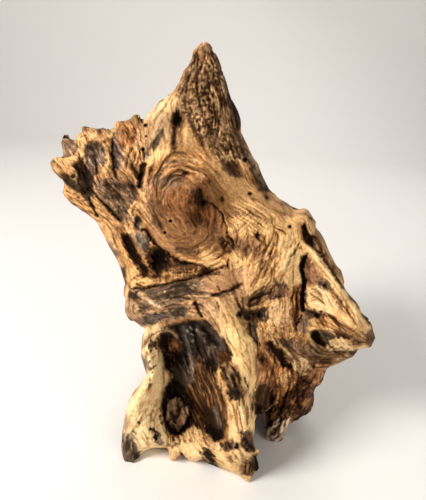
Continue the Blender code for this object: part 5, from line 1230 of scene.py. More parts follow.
def underside():
    chips([(280, 340), (330, 346), (352, 350), (340, 362), (300, 376), (286, 362)], rgb(72, 52, 37), 0.45, 0.85, PEBBLE, height=-0.8)
    chips([(280, 340), (330, 346), (352, 350), (340, 362), (300, 376), (286, 362)], rgb(204, 160, 110), 0.75, 0.75, PEBBLE, height=0.5)
    wash([(278, 340), (292, 340), (296, 350), (286, 352), (279, 346)], rgb(58, 46, 36), 0.85, 3, depth=1.0)
    wash([(305, 345), (318, 348), (320, 358), (308, 358)], rgb(134, 110, 84), 0.7, 4)
    wash([(282, 346), (296, 342), (308, 350), (306, 358), (294, 356)], rgb(146, 116, 86), 0.6, 4)
    ridge([(271, 337), (277, 343.5), (285, 350), (293.5, 359)], 2.3, 2.4, rgb(250, 208, 146), 1.0, wobble=0.4)
    wash([(291, 363), (296, 359), (302, 358), (308, 361), (310, 368), (302, 372), (294, 370)], rgb(240, 202, 150), 0.95, 2.5, depth=-1.0)
    lines([[(300, 371), (296, 365), (294, 361)], [(302, 371), (300, 364), (299, 359)], [(303, 371), (304, 364), (304, 360)], [(305, 371), (307, 366), (308, 362)]], 0.9, rgb(158, 120, 82), 0.8, 0.5)
    stroke([(296, 372), (306, 374.5), (318, 371.5), (332, 367), (346, 360)], 1.3, -0.6, rgb(228, 186, 132), 0.9)
    spot(313, 366, 2.0, 3.0, BLACK, 0.95, 1.8, angle=25)
    wash([(314, 368), (326, 368), (326, 376), (316, 380), (308, 376)], rgb(184, 138, 90), 0.8, 3)
    ridge([(336, 362), (342, 358), (348, 355)], 1.8, 0.5, rgb(216, 178, 126), 0.8)
    # rust-coloured fibres left of the long groove
    wash([(262, 344), (272, 348), (286, 366), (296, 376), (292, 388), (280, 396), (272, 412), (262, 384), (257, 360)], rgb(168, 112, 62), 0.92, 4, rough=1.0)
    lines([[(264, 346), (272, 356), (280, 368)], [(260, 350), (268, 362), (273, 376)], [(268, 345), (278, 358), (285, 370)], [(264, 360), (268, 376), (270, 392)], [(272, 366), (275, 382), (276, 398)], [(278, 372), (280, 386), (279, 398)]], 1.5, rgb(104, 62, 32), 0.85, 1.2)
    lines([[(262, 348), (270, 358), (276, 368)], [(266, 346), (275, 357), (282, 368)], [(267, 366), (270, 382)], [(276, 374), (278, 390), (277, 404)]], 1.2, rgb(222, 168, 108), 0.75, -0.8)
    stroke([(266, 340), (271, 346), (277, 353), (283, 360), (287, 368)], 3.8, 4.0, rgb(20, 14, 10), 1.0, "flat", ends=0.1)
    spot(289, 367, 2.6, 3.4, BLACK, 0.95, 1.5)
    spot(262, 359.5, 1.8, 3.0, BLACK, 0.95, 2.0)
    wash([(283, 372), (290, 371), (294, 377), (291, 384), (284, 383), (280, 378)], rgb(228, 178, 118), 0.9, 3, depth=-1.6)
    stroke([(285, 376), (289, 380)], 1.0, 0.6, rgb(150, 100, 58), 0.7)
    stroke([(296, 370), (292, 380), (286, 390), (282, 398)], 3.0, -0.6, rgb(164, 116, 68), 0.8)
    spot(276, 386, 2.0, 2.6, rgb(84, 50, 28), 0.8, 0.6)
    # hollow beside the ridge
    wash([(256, 388), (264, 386), (271, 390), (273, 402), (271, 412), (262, 416), (254, 414), (254, 400)], rgb(92, 70, 46), 0.97, 2.5, depth=4.0)
    wash([(254, 406), (262, 407), (268, 408), (264, 415), (254, 415)], BLACK, 1.0, 2, depth=2.0)
    stroke([(270, 392), (272, 401), (272, 409)], 2.0, 1.6, BLACK, 1.0)
    ridge([(267, 396), (268, 403), (267, 409)], 1.3, 0.8, rgb(128, 96, 62), 0.8)
    stroke([(275, 398), (277, 408), (273, 416)], 2.4, -0.8, rgb(186, 136, 84), 0.85)
    # hind leg
    chips([(282, 384), (316, 376), (312, 410), (290, 424), (276, 418)], rgb(36, 24, 17), 0.1, 0.85, PEBBLE, height=-0.8)
    chips([(282, 384), (316, 376), (312, 410), (290, 424), (276, 418)], rgb(168, 120, 74), 0.8, 0.8, PEBBLE, height=0.4)
    wash([(306, 372), (322, 369), (325, 376), (318, 384), (308, 382)], rgb(154, 108, 68), 0.9, 3)
    stroke([(300, 380), (308, 382), (314, 385)], 2.0, 1.0, rgb(30, 20, 14), 0.9)
    line([(324, 376), (319, 384)], 1.8, rgb(44, 28, 18), 0.9)
    wash([(304, 398), (310, 396), (314, 400), (312, 408), (306, 410), (303, 404)], rgb(164, 116, 72), 0.92, 2, depth=-0.6)
    stroke([(302, 410), (306, 412), (311, 410)], 2.0, 0.8, rgb(56, 36, 22), 0.9)
    spot(291.3, 401, 2.4, 2.6, rgb(196, 142, 92), 0.9, -0.8)
    lines([[(288, 392), (284, 400), (282, 410)], [(298, 386), (297, 400), (300, 412)], [(284, 404), (280, 412), (281, 424)], [(304, 388), (302, 398)]], 2.0, BLACK, 0.9, 1.4)
    # foot
    wash([(266, 412), (276, 412), (286, 414), (290, 422), (278, 424), (266, 422)], rgb(148, 114, 80), 0.75, 3)
    chips([(264, 408), (290, 410), (290, 424), (266, 424)], rgb(34, 24, 17), 0.5, 0.85)
    # painted light: the foot is painted very pale to make up for the shade it stands in behind the body
    wash([(265, 427), (272, 424), (280, 421), (288, 420), (287, 430), (284, 438), (278, 442), (266, 444)], rgb(255, 230, 198), 0.97, 1.5, depth=-0.5)
    wash([(269, 434), (276, 432), (283, 436), (282, 441), (270, 441)], rgb(150, 128, 110), 0.8, 2)
    chips([(264, 422), (288, 420), (286, 440), (266, 444)], rgb(76, 58, 46), 0.7, 0.85)
    spot(270, 422, 3.4, 2.4, BLACK, 0.95, 1.0)
    lines([[(279, 410), (281, 420), (279, 430), (277, 437)], [(272, 427), (275, 431), (273, 436)], [(285, 422), (284, 431), (281, 438)]], 1.4, rgb(54, 40, 32), 0.9, 0.8)
    line([(266, 443), (271, 441.5), (277, 442)], 1.3, rgb(236, 214, 188), 0.9, 0.0)
    spot(271, 434, 1.4, 2.4, rgb(50, 38, 32), 0.85, 0.6, angle=20)


def centre_ridge():
    wash([(228, 316), (240, 318), (248, 334), (256, 348), (260, 372), (254, 390), (244, 376), (234, 366), (230, 346)], rgb(255, 215, 152), 0.95, 5, rough=0.22, depth=-1.0)
    wash([(240, 334), (246, 336), (254, 346), (252, 354), (243, 348)], rgb(255, 222, 160), 0.9, 4)
    chips([(230, 318), (258, 346), (258, 380), (238, 366)], rgb(188, 140, 86), 0.95, 0.6)
    lines([[(232, 330), (236, 350), (238, 366)], [(246, 340), (250, 360), (252, 378)], [(242, 352), (246, 372)]], 1.0, rgb(188, 138, 84), 0.5)
    ledge([(262, 348), (257, 362), (258, 380), (256, 394)], 1.8, 3.5, rgb(110, 70, 38), 0.7)
    wash([(222, 360), (232, 362), (240, 374), (244, 388), (236, 390), (228, 380)], rgb(170, 126, 82), 0.7, 4)
    # dark clusters on its upper left
    stroke([(217, 366), (219, 380), (224, 392), (232, 408), (238, 424)], 4.2, -1.6, rgb(230, 182, 120), 0.9, ends=0.1)
    wash([(219, 366), (230, 363), (239, 371), (242, 384), (246, 396), (238, 402), (228, 396), (221, 382)], rgb(140, 104, 68), 0.7, 3)
    wash([(221, 368), (228, 368), (230, 378), (234, 388), (228, 386), (222, 378)], rgb(88, 74, 58), 0.9, 2.5, depth=1.4)
    lines([[(221, 366), (225, 373), (228, 381)], [(229, 363), (234, 370), (238, 378), (240, 387)], [(226, 383), (232, 390), (239, 394)], [(240, 384), (244, 392), (242, 400)]], 1.7, rgb(28, 20, 15), 0.93, 1.0)
    stroke([(231, 372), (234, 382), (238, 390), (240, 398)], 3.2, 2.4, BLACK, 0.97, ends=0.15)
    stroke([(238, 371), (240, 379), (242, 386)], 1.5, 1.6, rgb(30, 22, 16), 0.95)
    stroke([(244, 376), (246.5, 382), (249, 389)], 1.3, 1.4, rgb(40, 28, 20), 0.95)
    wash([(226, 388), (236, 388), (242, 394), (240, 402), (232, 398)], rgb(30, 24, 20), 0.9, 3, depth=1.2)
    ridge([(227, 372), (230, 380), (233, 388)], 1.3, 0.8, rgb(206, 160, 106), 0.8)
    ridge([(241, 378), (243, 390), (246, 402)], 2.0, 0.8, rgb(196, 148, 92), 0.7)
    # fibres running down to the toe
    lines([[(228, 396), (234, 412), (238, 430)], [(236, 400), (240, 416), (243, 432)], [(243, 396), (246, 412), (248, 428)], [(250, 390), (251, 408), (252, 424)], [(232, 402), (237, 418), (240, 436)], [(247, 404), (249, 420)]], 1.2, rgb(134, 92, 54), 0.85, 1.0)
    lines([[(226, 398), (232, 414), (236, 432)], [(240, 404), (244, 420), (246, 434)], [(254, 396), (254, 412), (254, 430)]], 1.6, rgb(250, 212, 150), 0.7, -0.9)
    spot(232, 417, 1.5, 4.0, rgb(120, 78, 44), 0.8, 0.8, angle=-30)
    wash([(227, 432), (236, 434), (240, 444), (232, 446), (226, 440)], rgb(214, 170, 122), 0.7, 3)
    # dark pits above the toe
    wash([(242, 434), (250, 434), (254, 444), (253, 451), (245, 450), (241, 442)], rgb(92, 66, 48), 0.92, 3, depth=1.6)
    chips([(240, 432), (254, 434), (254, 452), (242, 450)], rgb(34, 24, 18), 0.3, 0.9)
    stroke([(244, 436), (247, 442), (251, 449)], 1.8, 1.2, BLACK, 0.9)
    ridge([(249, 436), (252, 444)], 1.0, 0.6, rgb(156, 120, 92), 0.7)
    spot(237.5, 445.5, 2.6, 3.6, BLACK, 0.95, 2.0)
    wash([(222, 442), (232, 440), (234, 448), (226, 453), (220, 450)], rgb(92, 68, 52), 0.92, 2.5, depth=1.0)
    spot(219.5, 444.5, 3.0, 2.8, rgb(48, 40, 38), 0.92, 0.8)
    lines([[(224, 440), (227, 450)], [(229, 441), (231, 450)]], 1.5, rgb(34, 24, 18), 0.9, 0.8)
    wash([(203, 434), (216, 436), (218, 444), (212, 450), (204, 446)], rgb(222, 180, 134), 0.8, 3)
    # toe
    wash([(208, 450), (226, 454), (244, 451), (254, 452), (252, 460), (242, 468), (238, 474), (222, 468), (212, 460)], rgb(240, 200, 144), 0.95, 2.5, depth=-1.2)
    chips([(218, 454), (238, 454), (238, 466), (222, 462)], rgb(190, 148, 98), 0.6, 0.7)
    spot(230.5, 460.5, 2.4, 3.2, rgb(122, 92, 56), 0.8, 0.6)
    stroke([(238, 453), (235, 458), (232, 463)], 1.0, 0.5, rgb(150, 108, 66), 0.7)
    wash([(242, 463), (252, 458), (255, 466), (252, 476), (246, 478), (240, 472)], rgb(104, 74, 48), 0.92, 2.5, depth=0.8)
    lines([[(246, 461), (245, 474)], [(250.5, 459), (249, 475)], [(253, 459), (252, 473)]], 1.2, rgb(32, 22, 15), 0.9)
    lines([[(248, 460), (247, 474)], [(243.5, 463), (242.5, 472)]], 1.1, rgb(190, 146, 98), 0.85, -0.5)
    stroke([(254.5, 453), (257, 462), (256, 472)], 3.0, 0.8, rgb(20, 14, 10), 0.97, "flat", ends=0.1)
    stroke([(238, 474), (244, 479), (250, 484)], 2.0, -0.6, rgb(238, 200, 154), 0.9, wobble=0.4)
    # charred chip in front of the toe
    wash([(198, 447), (205, 448), (212, 454), (216, 462), (220, 468), (214, 468), (204, 462), (199, 456)], rgb(22, 17, 14), 0.98, 1.5, wobble=0.8, depth=-0.8)
    lines([[(200, 453), (205, 458), (209, 463)], [(203, 455), (206, 457)], [(201, 459), (207, 463), (211, 465)]], 1.1, rgb(222, 182, 128), 0.9, -0.3)
    # small feet
    wash([(182, 432), (196, 426), (202, 434), (201, 448), (190, 452), (180, 446)], rgb(232, 192, 138), 0.92, 4, depth=-1.0)
    spot(190.5, 441, 1.8, 2.6, rgb(130, 92, 56), 0.85, 0.8)
    spot(194, 434, 2.0, 1.4, rgb(176, 130, 84), 0.6)
    wash([(167, 448), (180, 448), (179, 456), (174, 463), (169, 458)], rgb(230, 188, 134), 0.95, 2, depth=-0.8)
    wash([(182, 452), (200, 450), (200, 460), (194, 464), (186, 459)], rgb(236, 198, 146), 0.95, 2, depth=-0.8)
    stroke([(180, 452), (182.5, 456), (185, 458)], 1.4, 2.0, rgb(40, 28, 20), 0.95)
    line([(190, 455), (192, 462)], 1.0, rgb(170, 126, 82), 0.7)
    lines([[(176, 433), (179, 438), (180, 443)], [(180, 433), (183, 436)], [(172, 436), (175, 441)]], 1.5, rgb(42, 30, 22), 0.9, 1.0)
    chips([(164, 430), (182, 434), (182, 446), (166, 444)], rgb(96, 70, 48), 0.4, 0.8)
    ridge([(190, 426), (196, 418), (200, 410)], 1.2, 0.4, rgb(150, 112, 74), 0.5)


def char_hollow():
    outline = [(166, 329), (180, 322), (198, 321), (208, 326), (218, 334), (227, 345), (231, 354), (228, 363), (219, 366), (216, 382), (221, 400), (226, 420), (225, 436), (214, 440), (204, 431), (194, 424), (184, 432), (170, 434), (164, 420), (162, 404), (165, 388), (172, 377), (164, 366), (161, 352), (157, 342), (158, 333)]
    wash(outline, rgb(24, 17, 13), 1.0, 3.0, depth=2.2, rough=0.5, wobble=1.0)
    # brown wood between the charred folds
    wash([(190, 360), (200, 362), (212, 376), (220, 396), (222, 410), (208, 412), (196, 400), (190, 384)], rgb(98, 66, 40), 0.9, 6)
    wash([(196, 404), (210, 404), (216, 418), (212, 430), (202, 428), (194, 418)], rgb(52, 34, 21), 0.85, 5)
    # blue-grey charcoal fold down the middle: its blue-grey is partly the charcoal's colour and partly painted sheen,
    # with painted glints
    stroke([(183, 322), (187, 338), (190, 354), (193, 370), (192, 386)], 4.6, -2.2, rgb(104, 102, 102), 0.95, ends=0.1)
    stroke([(196, 322), (200, 334), (206, 346), (211, 356)], 3.4, -1.2, rgb(96, 88, 82), 0.9, ends=0.12)
    stroke([(206, 326), (214, 334), (221, 343), (226, 352)], 3.6, -0.8, rgb(116, 104, 98), 0.9, ends=0.15)
    stroke([(178.5, 324), (180, 334), (183, 346), (187, 358), (189, 372)], 2.2, 2.4, BLACK, 1.0, ends=0.1)
    stroke([(192, 324), (196, 338), (200, 352), (204, 364)], 1.7, 1.6, BLACK, 0.95, ends=0.12)
    stroke([(202, 325), (208, 334), (215, 344), (220, 354)], 1.7, 1.4, BLACK, 0.95, ends=0.12)
    lines([[(190, 326), (192.5, 330)], [(190.5, 333), (194, 336)], [(190, 339), (193.5, 342)], [(190.5, 345), (193, 348)], [(187, 329), (188.5, 334)], [(196, 328), (197.5, 331)]], 1.2, rgb(214, 214, 214), 0.95, -0.5)
    for k in range(9):
        u = 183 + 2.6 * k
        line([(u, 326 + 1.5 * k), (u + 4, 340 + 1.5 * k), (u + 9, 354 + 1.3 * k)], 0.9, (rgb(132, 124, 118), rgb(8, 6, 5), rgb(104, 94, 86))[k % 3], 0.7, (-0.4, 0.8, -0.3)[k % 3], ends=0.25)
    chips([(180, 324), (222, 340), (222, 372), (196, 384), (182, 360)], rgb(120, 112, 106), 1.15, 0.8)
    chips([(186, 350), (222, 356), (222, 400), (200, 400)], rgb(132, 92, 56), 1.0, 0.8)
    chips([(166, 350), (186, 372), (190, 400), (168, 400)], rgb(80, 68, 60), 1.1, 0.8)
    # arch at its upper left and the rust-coloured cup
    stroke([(153, 346), (155.5, 337), (161, 331.5), (168, 330.5), (175, 333.5), (180, 341)], 3.2, -1.4, rgb(140, 118, 94), 0.95, ends=0.1)
    line([(156, 338), (160.5, 332.5), (167, 331), (174, 334), (178.5, 340)], 0.9, rgb(190, 166, 138), 0.85, -0.4)
    wash([(163, 341), (167, 337), (171, 338), (168, 346), (169, 354), (165, 352)], BLACK, 1.0, 1.6, depth=2.6)
    wash([(168, 340), (174, 338), (180, 343), (181, 350), (176, 356), (170, 353), (167.5, 346)], rgb(156, 98, 56), 0.97, 2.4, depth=2.4)
    # painted highlight inside the rust-coloured cup
    spot(174, 345.5, 3.0, 3.6, rgb(212, 158, 110), 0.85, soft=0.8)
    spot(170.5, 351.5, 3.4, 2.4, rgb(52, 26, 13), 0.9, 0.6)
    line([(180, 339), (181.5, 346), (179, 353)], 1.2, rgb(142, 120, 102), 0.8, -0.5)
    # thin pale edges of the folds under the cup
    lines([[(162, 350), (167, 353), (172, 357.5), (176, 362)], [(176, 361), (182, 368), (186, 376), (189, 385)], [(183, 356), (187, 366), (190, 376)]], 1.0, rgb(150, 136, 124), 0.9, -0.6)
    wash([(162, 354), (168, 355), (173, 361), (173, 371), (166, 369)], BLACK, 1.0, 2, depth=1.2)
    wash([(172, 364), (178, 365), (184, 374), (187, 386), (180, 384), (174, 376)], rgb(78, 68, 61), 0.9, 2.5, gloss=0.5)
    wash([(166, 384), (174, 377), (182, 386), (188, 396), (193, 410), (188, 410), (180, 397), (170, 396)], BLACK, 1.0, 2.5, depth=1.6)
    lines([[(171, 380), (173, 390), (171, 398)], [(176, 382), (179, 392)], [(183, 388), (187, 398), (190, 408)]], 0.9, rgb(96, 86, 78), 0.75, -0.3)
    # grey chips on the right-hand fold
    wash([(208, 346), (217, 346), (220, 356), (217, 363), (210, 360)], rgb(118, 100, 88), 0.9, 2.5, depth=-0.6)
    lines([[(209, 349), (212, 357), (211, 363)], [(215, 347), (216, 355), (218, 361)], [(206, 344), (209, 350)]], 1.3, rgb(20, 15, 12), 0.92, 0.8)
    chips([(200, 340), (226, 350), (222, 366), (206, 366)], rgb(150, 134, 120), 1.0, 0.75)
    wash([(219, 350), (228, 352), (230, 360), (222, 364)], rgb(70, 42, 24), 0.9, 3)
    lines([[(219, 352), (223, 358)], [(224, 351), (228, 357)], [(218, 358), (222, 362)]], 1.2, rgb(186, 126, 70), 0.8, -0.4)
    # golden fibres running down to the right
    for k in range(13):
        u, v = 191 + 1.9 * k, 364 + 1.3 * (k % 4) + 0.5 * k
        tint = (rgb(236, 184, 124), rgb(20, 13, 9), rgb(206, 150, 94), rgb(34, 22, 14))[k % 4]
        line([(u, v), (u + 5, v + 12), (u + 11, v + 25), (u + 16, v + 38 + 4 * (k % 3))], 1.15, tint, 0.92, (-0.7, 0.9, -0.5, 0.7)[k % 4], ends=0.2)
    lines([[(191, 372), (196, 384), (203, 397)], [(192, 390), (198, 402), (205, 414)], [(194, 402), (199, 412), (204, 420)]], 1.0, rgb(184, 136, 84), 0.85, -0.6, ends=0.2)
    lines([[(188, 404), (193, 414), (197, 424)], [(193, 408), (198, 418), (200, 426)], [(198, 414), (201, 424)]], 1.1, rgb(190, 146, 96), 0.85, -0.6)
    lines([[(183, 379), (188, 391), (193, 403)], [(187, 377), (192, 389), (197, 401)], [(175, 386), (181, 393), (187, 400)]], 0.9, rgb(158, 124, 90), 0.8, -0.4, ends=0.2)
    # oval lobe standing in the bottom of the hollow
    wash([(169, 400), (174, 396), (180, 398), (187, 404), (190, 413), (186, 423), (178, 430), (171, 427), (166, 415)], rgb(160, 128, 96), 0.97, 2, depth=-2.2, gloss=0.3)
    wash([(169, 408), (174, 407), (175, 420), (172, 425), (168, 418)], rgb(184, 150, 116), 0.85, 2.5)
    wash([(181, 406), (187, 409), (187, 419), (183, 424), (180, 415)], rgb(208, 172, 136), 0.9, 2.5)
    chips([(168, 400), (180, 396), (190, 408), (186, 424), (172, 428)], rgb(30, 21, 16), 0.4, 0.9, 0.6 * COARSE + 0.7 * grain_noise(1.6, 63))
    chips([(168, 404), (180, 400), (189, 410), (184, 424), (172, 426)], rgb(178, 142, 108), 0.85, 0.85, 0.5 * COARSE + 0.8 * grain_noise(1.3, 64))
    lines([[(172, 404), (176, 398), (182, 399)], [(186, 408), (187.5, 414), (185, 420)]], 1.2, rgb(186, 152, 118), 0.85, -0.6)
    lines([[(177, 402), (179, 410), (178, 418)], [(171, 410), (173, 418), (177, 425)]], 1.3, rgb(20, 14, 10), 0.95, 1.2)
    stroke([(164, 398), (163.5, 410), (165, 421), (170, 430), (178, 432), (185, 427), (190, 419), (191.5, 409)], 1.5, 2.4, BLACK, 1.0, ends=0.06)
    # right wall: grey sheen above the black bottom
    stroke([(213, 404), (217, 416), (221, 430)], 4.6, -0.8, rgb(132, 116, 104), 0.92, ends=0.15)
    lines([[(212, 408), (216, 420), (219, 431)], [(217, 408), (221, 420), (223, 430)]], 1.0, rgb(60, 46, 36), 0.85, 0.5)
    wash([(206, 424), (214, 427), (222, 433), (222, 439), (214, 439), (207, 432)], BLACK, 1.0, 2.2, depth=2.4)
    chips([(192, 416), (206, 416), (206, 430), (196, 426)], rgb(196, 152, 104), 0.9, 0.75)
    stroke([(221, 400), (226, 414), (228, 430)], 1.3, 0.8, rgb(120, 82, 50), 0.7)


def left_lobe():
    # column above the lobe
    wash([(148, 330), (160, 328), (158, 336), (154, 346), (146, 346), (144, 338)], rgb(232, 190, 138), 0.85, 3)
    stroke([(162, 330), (154, 334), (147, 341), (143, 350)], 1.6, 1.0, rgb(84, 62, 44), 0.85)
    chips([(141, 336), (150, 334), (148, 356), (142, 354)], rgb(110, 76, 48), 0.3, 0.85)
    wash([(148, 342), (152, 338), (156, 342), (155, 348), (150, 349)], rgb(36, 29, 25), 0.95, 2, depth=1.4)
    stroke([(150, 346), (150.5, 352)], 1.4, 0.8, rgb(70, 52, 38), 0.85)
    stroke([(157, 338), (158.5, 346), (159, 354)], 1.6, 0.5, rgb(150, 110, 70), 0.7)
    spot(153, 357, 1.2, 3.4, rgb(190, 138, 84), 0.8, 0.5)
    wash([(141, 355), (146, 357), (148, 366), (147, 375), (144, 371), (142, 363)], rgb(88, 74, 58), 0.92, 2)
    lines([[(149, 371), (153, 368), (156.5, 364)], [(151.5, 372), (153, 373)]], 1.4, rgb(54, 40, 30), 0.9, 1.0)
    # edge against the hollow
    stroke([(163, 378), (160, 390), (160, 404), (161, 418), (163, 430)], 2.4, -0.6, rgb(244, 200, 146), 0.7, ends=0.15)
    wash([(160, 366), (168, 370), (172, 374), (166, 380), (160, 376)], rgb(248, 210, 158), 0.7, 3)
    # painted light: the slope down into the hollow is painted paler to make up for its shade
    wash([(153, 386), (162, 380), (162, 400), (162, 430), (154, 432), (152, 410)], rgb(255, 224, 170), 0.6, 3)
    spot(160.3, 409, 1.4, 3.2, rgb(50, 34, 24), 0.92, 0.8)
    spot(159.8, 416.5, 1.5, 2.4, rgb(60, 42, 30), 0.9, 0.8)
    spot(162, 422, 1.4, 3.0, rgb(48, 34, 25), 0.85, 0.6)
    chips([(146, 380), (160, 380), (160, 440), (134, 444), (128, 410)], rgb(220, 176, 124), 0.95, 0.75, PEBBLE)
    # spots, streaks and small cracks
    spot(150, 384.5, 3.2, 2.4, rgb(92, 70, 48), 0.85, 0.8)
    spot(149.5, 388, 1.9, 2.0, rgb(36, 26, 18), 0.95, 1.2)
    spot(149, 379, 1.4, 1.4, rgb(120, 86, 54), 0.7)
    chips([(142, 392), (156, 386), (158, 412), (150, 424), (140, 418), (138, 402)], rgb(190, 146, 98), 1.05, 0.75)
    stroke([(148, 413), (151, 417), (154, 422)], 1.9, 0.5, rgb(178, 130, 84), 0.85)
    spot(139.7, 422, 1.5, 2.0, rgb(60, 42, 28), 0.9, 0.8, angle=-30)
    stroke([(148, 428), (152, 429), (156, 431), (159, 435)], 1.5, 1.8, rgb(22, 15, 11), 1.0)
    wash([(151, 431), (157, 431), (161, 438), (164, 443), (158, 444), (153, 440)], rgb(128, 110, 94), 0.92, 2, depth=1.0)
    spot(155.8, 437, 2.8, 2.8, BLACK, 1.0, 2.2)
    stroke([(157, 443), (161, 443.5), (164, 443)], 1.3, 0.6, rgb(92, 74, 70), 0.85)
    spot(147.5, 437.5, 1.5, 2.0, rgb(160, 108, 62), 0.75)
    lines([[(135, 436), (139, 444), (142, 450)], [(140, 432), (144, 440), (149, 447)], [(143, 430), (147, 437)]], 1.1, rgb(188, 142, 94), 0.7)
    lines([[(131, 430), (134, 431.5), (136, 434), (138, 433)]], 1.5, rgb(50, 40, 34), 0.9, 0.8)
    # grey toe on the far left
    wash([(124, 414), (129, 416), (130, 428), (126, 432), (122, 430)], rgb(160, 128, 100), 0.85, 2.5)
    wash([(120, 444), (127, 434), (133, 440), (138, 452), (138, 460), (130, 467), (121, 464)], rgb(84, 72, 60), 0.97, 3, depth=0.4)
    lines([[(124, 432), (122.5, 444)], [(129, 430), (127, 444), (126, 454)], [(132, 440), (134, 450), (137, 458)]], 1.5, rgb(54, 44, 36), 0.9, 0.8)
    lines([[(126, 430), (125, 442)], [(131, 440), (132, 450)]], 1.4, rgb(206, 172, 132), 0.75, -0.4)
    spot(134, 456, 3.0, 4.5, rgb(36, 29, 24), 0.85, 0.5)
    spot(129.5, 446, 2.0, 3.4, rgb(46, 38, 32), 0.8)
    chips([(121, 444), (138, 448), (136, 464), (124, 464)], rgb(120, 104, 88), 0.8, 0.6)


grounds()
fan()
spike()
knot()
below_knot()
shoulder()
waist()
wavy_centre()
wedge()
underside()
centre_ridge()
char_hollow()
left_lobe()

# -------------------------------------------------- relief and wear by grain, with painted crevice shade and ridge highlight
DEPTH_SMOOTH = blur(DEPTH, 2.0)
DEPTH_FULL = DEPTH - (0.04 * COARSE + 0.07 * MEDIUM + 0.07 * FINE + 0.10 * LONG + 0.04 * grain_noise(0.6, 49)) * (0.15 + 1.6 * ROUGH)

hollow_small = DEPTH_FULL - blur(DEPTH_FULL, 1.6)
hollow_mid = DEPTH_FULL - blur(DEPTH_FULL, 5.0)

# dark fibres brown the wood more than they grey it; stains lie in patches
tone = (0.45 * FINE + 0.9 * LONG + 0.22 * MEDIUM + 0.35 * grain_noise(0.45, 48)) * (0.12 + 0.8 * ROUGH) * 0.24
tone -= 0.40 * np.clip(-LONG - 1.1, 0, 2.0) * (0.15 + ROUGH)
tone -= 0.14 * np.clip(MOTTLE - 0.8, 0, 2.0) * (0.2 + ROUGH)
tone -= 0.06 * np.clip(grain_noise(7.0, 47) - 0.3, 0, 2.0) * (0.3 + ROUGH)
COLOUR *= np.exp(np.clip(tone, -0.9, 0.0))[..., None] ** np.array((1.0, 1.18, 1.45))
COLOUR *= np.exp(np.clip(tone, 0.0, 0.40))[..., None]

# dark places stain the wood round them, and single fibres cross them
shade = COLOUR @ np.array((0.3, 0.6, 0.1))
dark = 1 - smoothstep(0.10, 0.30, shade)
halo = np.clip(0.6 * blur(dark, 1.6) + 0.5 * blur(dark, 3.5), 0, 1) * (1 - dark)
COLOUR *= np.exp(-0.6 * halo)[..., None] ** np.array((1.0, 1.2, 1.5))
crossing = smoothstep(1.0, 2.2, LONG + 0.4 * FINE) * dark * 0.22
COLOUR += (rgb(140, 104, 74) - COLOUR) * crossing[..., None]
# painted shade: crevices and hollows of the relief darkened towards dark brown
crevice_shade = np.clip(hollow_small * 0.55, 0, 1) * 0.5 + np.clip(hollow_mid * 0.16, 0, 1) * 0.5
COLOUR += (DARK * 0.8 - COLOUR) * np.clip(crevice_shade, 0, 0.8)[..., None]
# painted highlight: raised places of the relief lightened towards cream, where the wood is already light
ridge_highlight = np.clip(-hollow_mid * 0.12, 0, 0.3)
bright = COLOUR.max(-1)
COLOUR += (CREAM - COLOUR) * (ridge_highlight * smoothstep(0.35, 0.7, bright))[..., None] * 0.7
grey_level = COLOUR.mean(-1, keepdims=True)
shade = COLOUR @ np.array((0.3, 0.6, 0.1))
depth_of_tone = 1.12 - 0.10 * smoothstep(0.40, 0.75, shade)
COLOUR = np.maximum(grey_level + depth_of_tone[..., None] * (COLOUR - grey_level), 0.01)
COLOUR = COLOUR ** (1 + 0.05 * smoothstep(0.12, 0.30, shade))[..., None]
COLOUR = np.clip(COLOUR * np.minimum(1.0, 0.955 / COLOUR.max(-1, keepdims=True)), 0.01, 0.98)

for hu, hv, hr, hd in HOLES:
    win = around(hu - 5, hv - 5, hu + 5, hv + 5)
    r = np.hypot(UU[win] - hu, VV[win] - hv) / hr
    DEPTH_FULL[win] += hd * (1 - smoothstep(0.5, 1.2, r))
    colour_in(win, BLACK, 0.95 * (1 - smoothstep(0.7, 1.35, r)))
    colour_in(win, PALE, 0.25 * smoothstep(0.9, 1.3, r) * (1 - smoothstep(1.6, 2.4, r)))

DETAIL = DEPTH_FULL - DEPTH_SMOOTH

# ------------------------------------------------------------- Blender tools
wood = bpy.data.collections.new("bogwood")
bpy.context.scene.collection.children.link(wood)


def baked(obj, name):
    bpy.context.view_layer.update()
    graph = bpy.context.evaluated_depsgraph_get()
    mesh = bpy.data.meshes.new_from_object(obj.evaluated_get(graph))
    mesh.name = name
    mesh.transform(obj.matrix_world)
    return mesh


def tidy(mesh):
    bm = bmesh.new()
    bm.from_mesh(mesh)
    bmesh.ops.remove_doubles(bm, verts=bm.verts, dist=1e-6)
    bmesh.ops.recalc_face_normals(bm, faces=bm.faces)
    bm.to_mesh(mesh)
    bm.free()
    return mesh


def points_of(mesh):
    flat = np.empty(len(mesh.vertices) * 3, np.float32)
    mesh.vertices.foreach_get("co", flat)
    return flat.reshape(-1, 3).astype(float)


def normals_of(mesh):
    flat = np.empty(len(mesh.vertices) * 3, np.float32)
    mesh.vertices.foreach_get("normal", flat)
    return flat.reshape(-1, 3).astype(float)


def move_points(mesh, points):
    mesh.vertices.foreach_set("co", np.asarray(points, np.float32).ravel())
    mesh.update()


def swap_mesh(obj, mesh):
    old = obj.data
    obj.modifiers.clear()
    obj.data = mesh
    bpy.data.meshes.remove(old)


class Mass:
    """Front, back and rim distances of one drawn mass, over the plane."""

    def __init__(self, outline, front, rim, back):
        self.outline = outline
        self.front = front
        self.rim_distance = along_rim(rim, 2)
        self.rim_width = along_rim(rim, 3)
        self.back = surface_through(back)

    def surfaces(self, u, v):
        inward = distance_to_outline(u, v, self.outline)
        shoulder = rounded(inward - 0.5, self.rim_width(u, v))
        broad = rounded(inward - 0.5, 26.0)
        edge = self.rim_distance(u, v)
        near = edge + (self.front(u, v) - edge) * shoulder
        far = edge + np.maximum(self.back(u, v) - edge, 4.0) * broad
        return near, far, inward


body_mass = Mass(BODY_OUTLINE, lambda u, v: sample(DEPTH_SMOOTH, u, v), BODY_RIM, BODY_BACK)
leg_mass = Mass(LEG_OUTLINE, surface_through(LEG_FRONT), LEG_RIM, LEG_BACK)


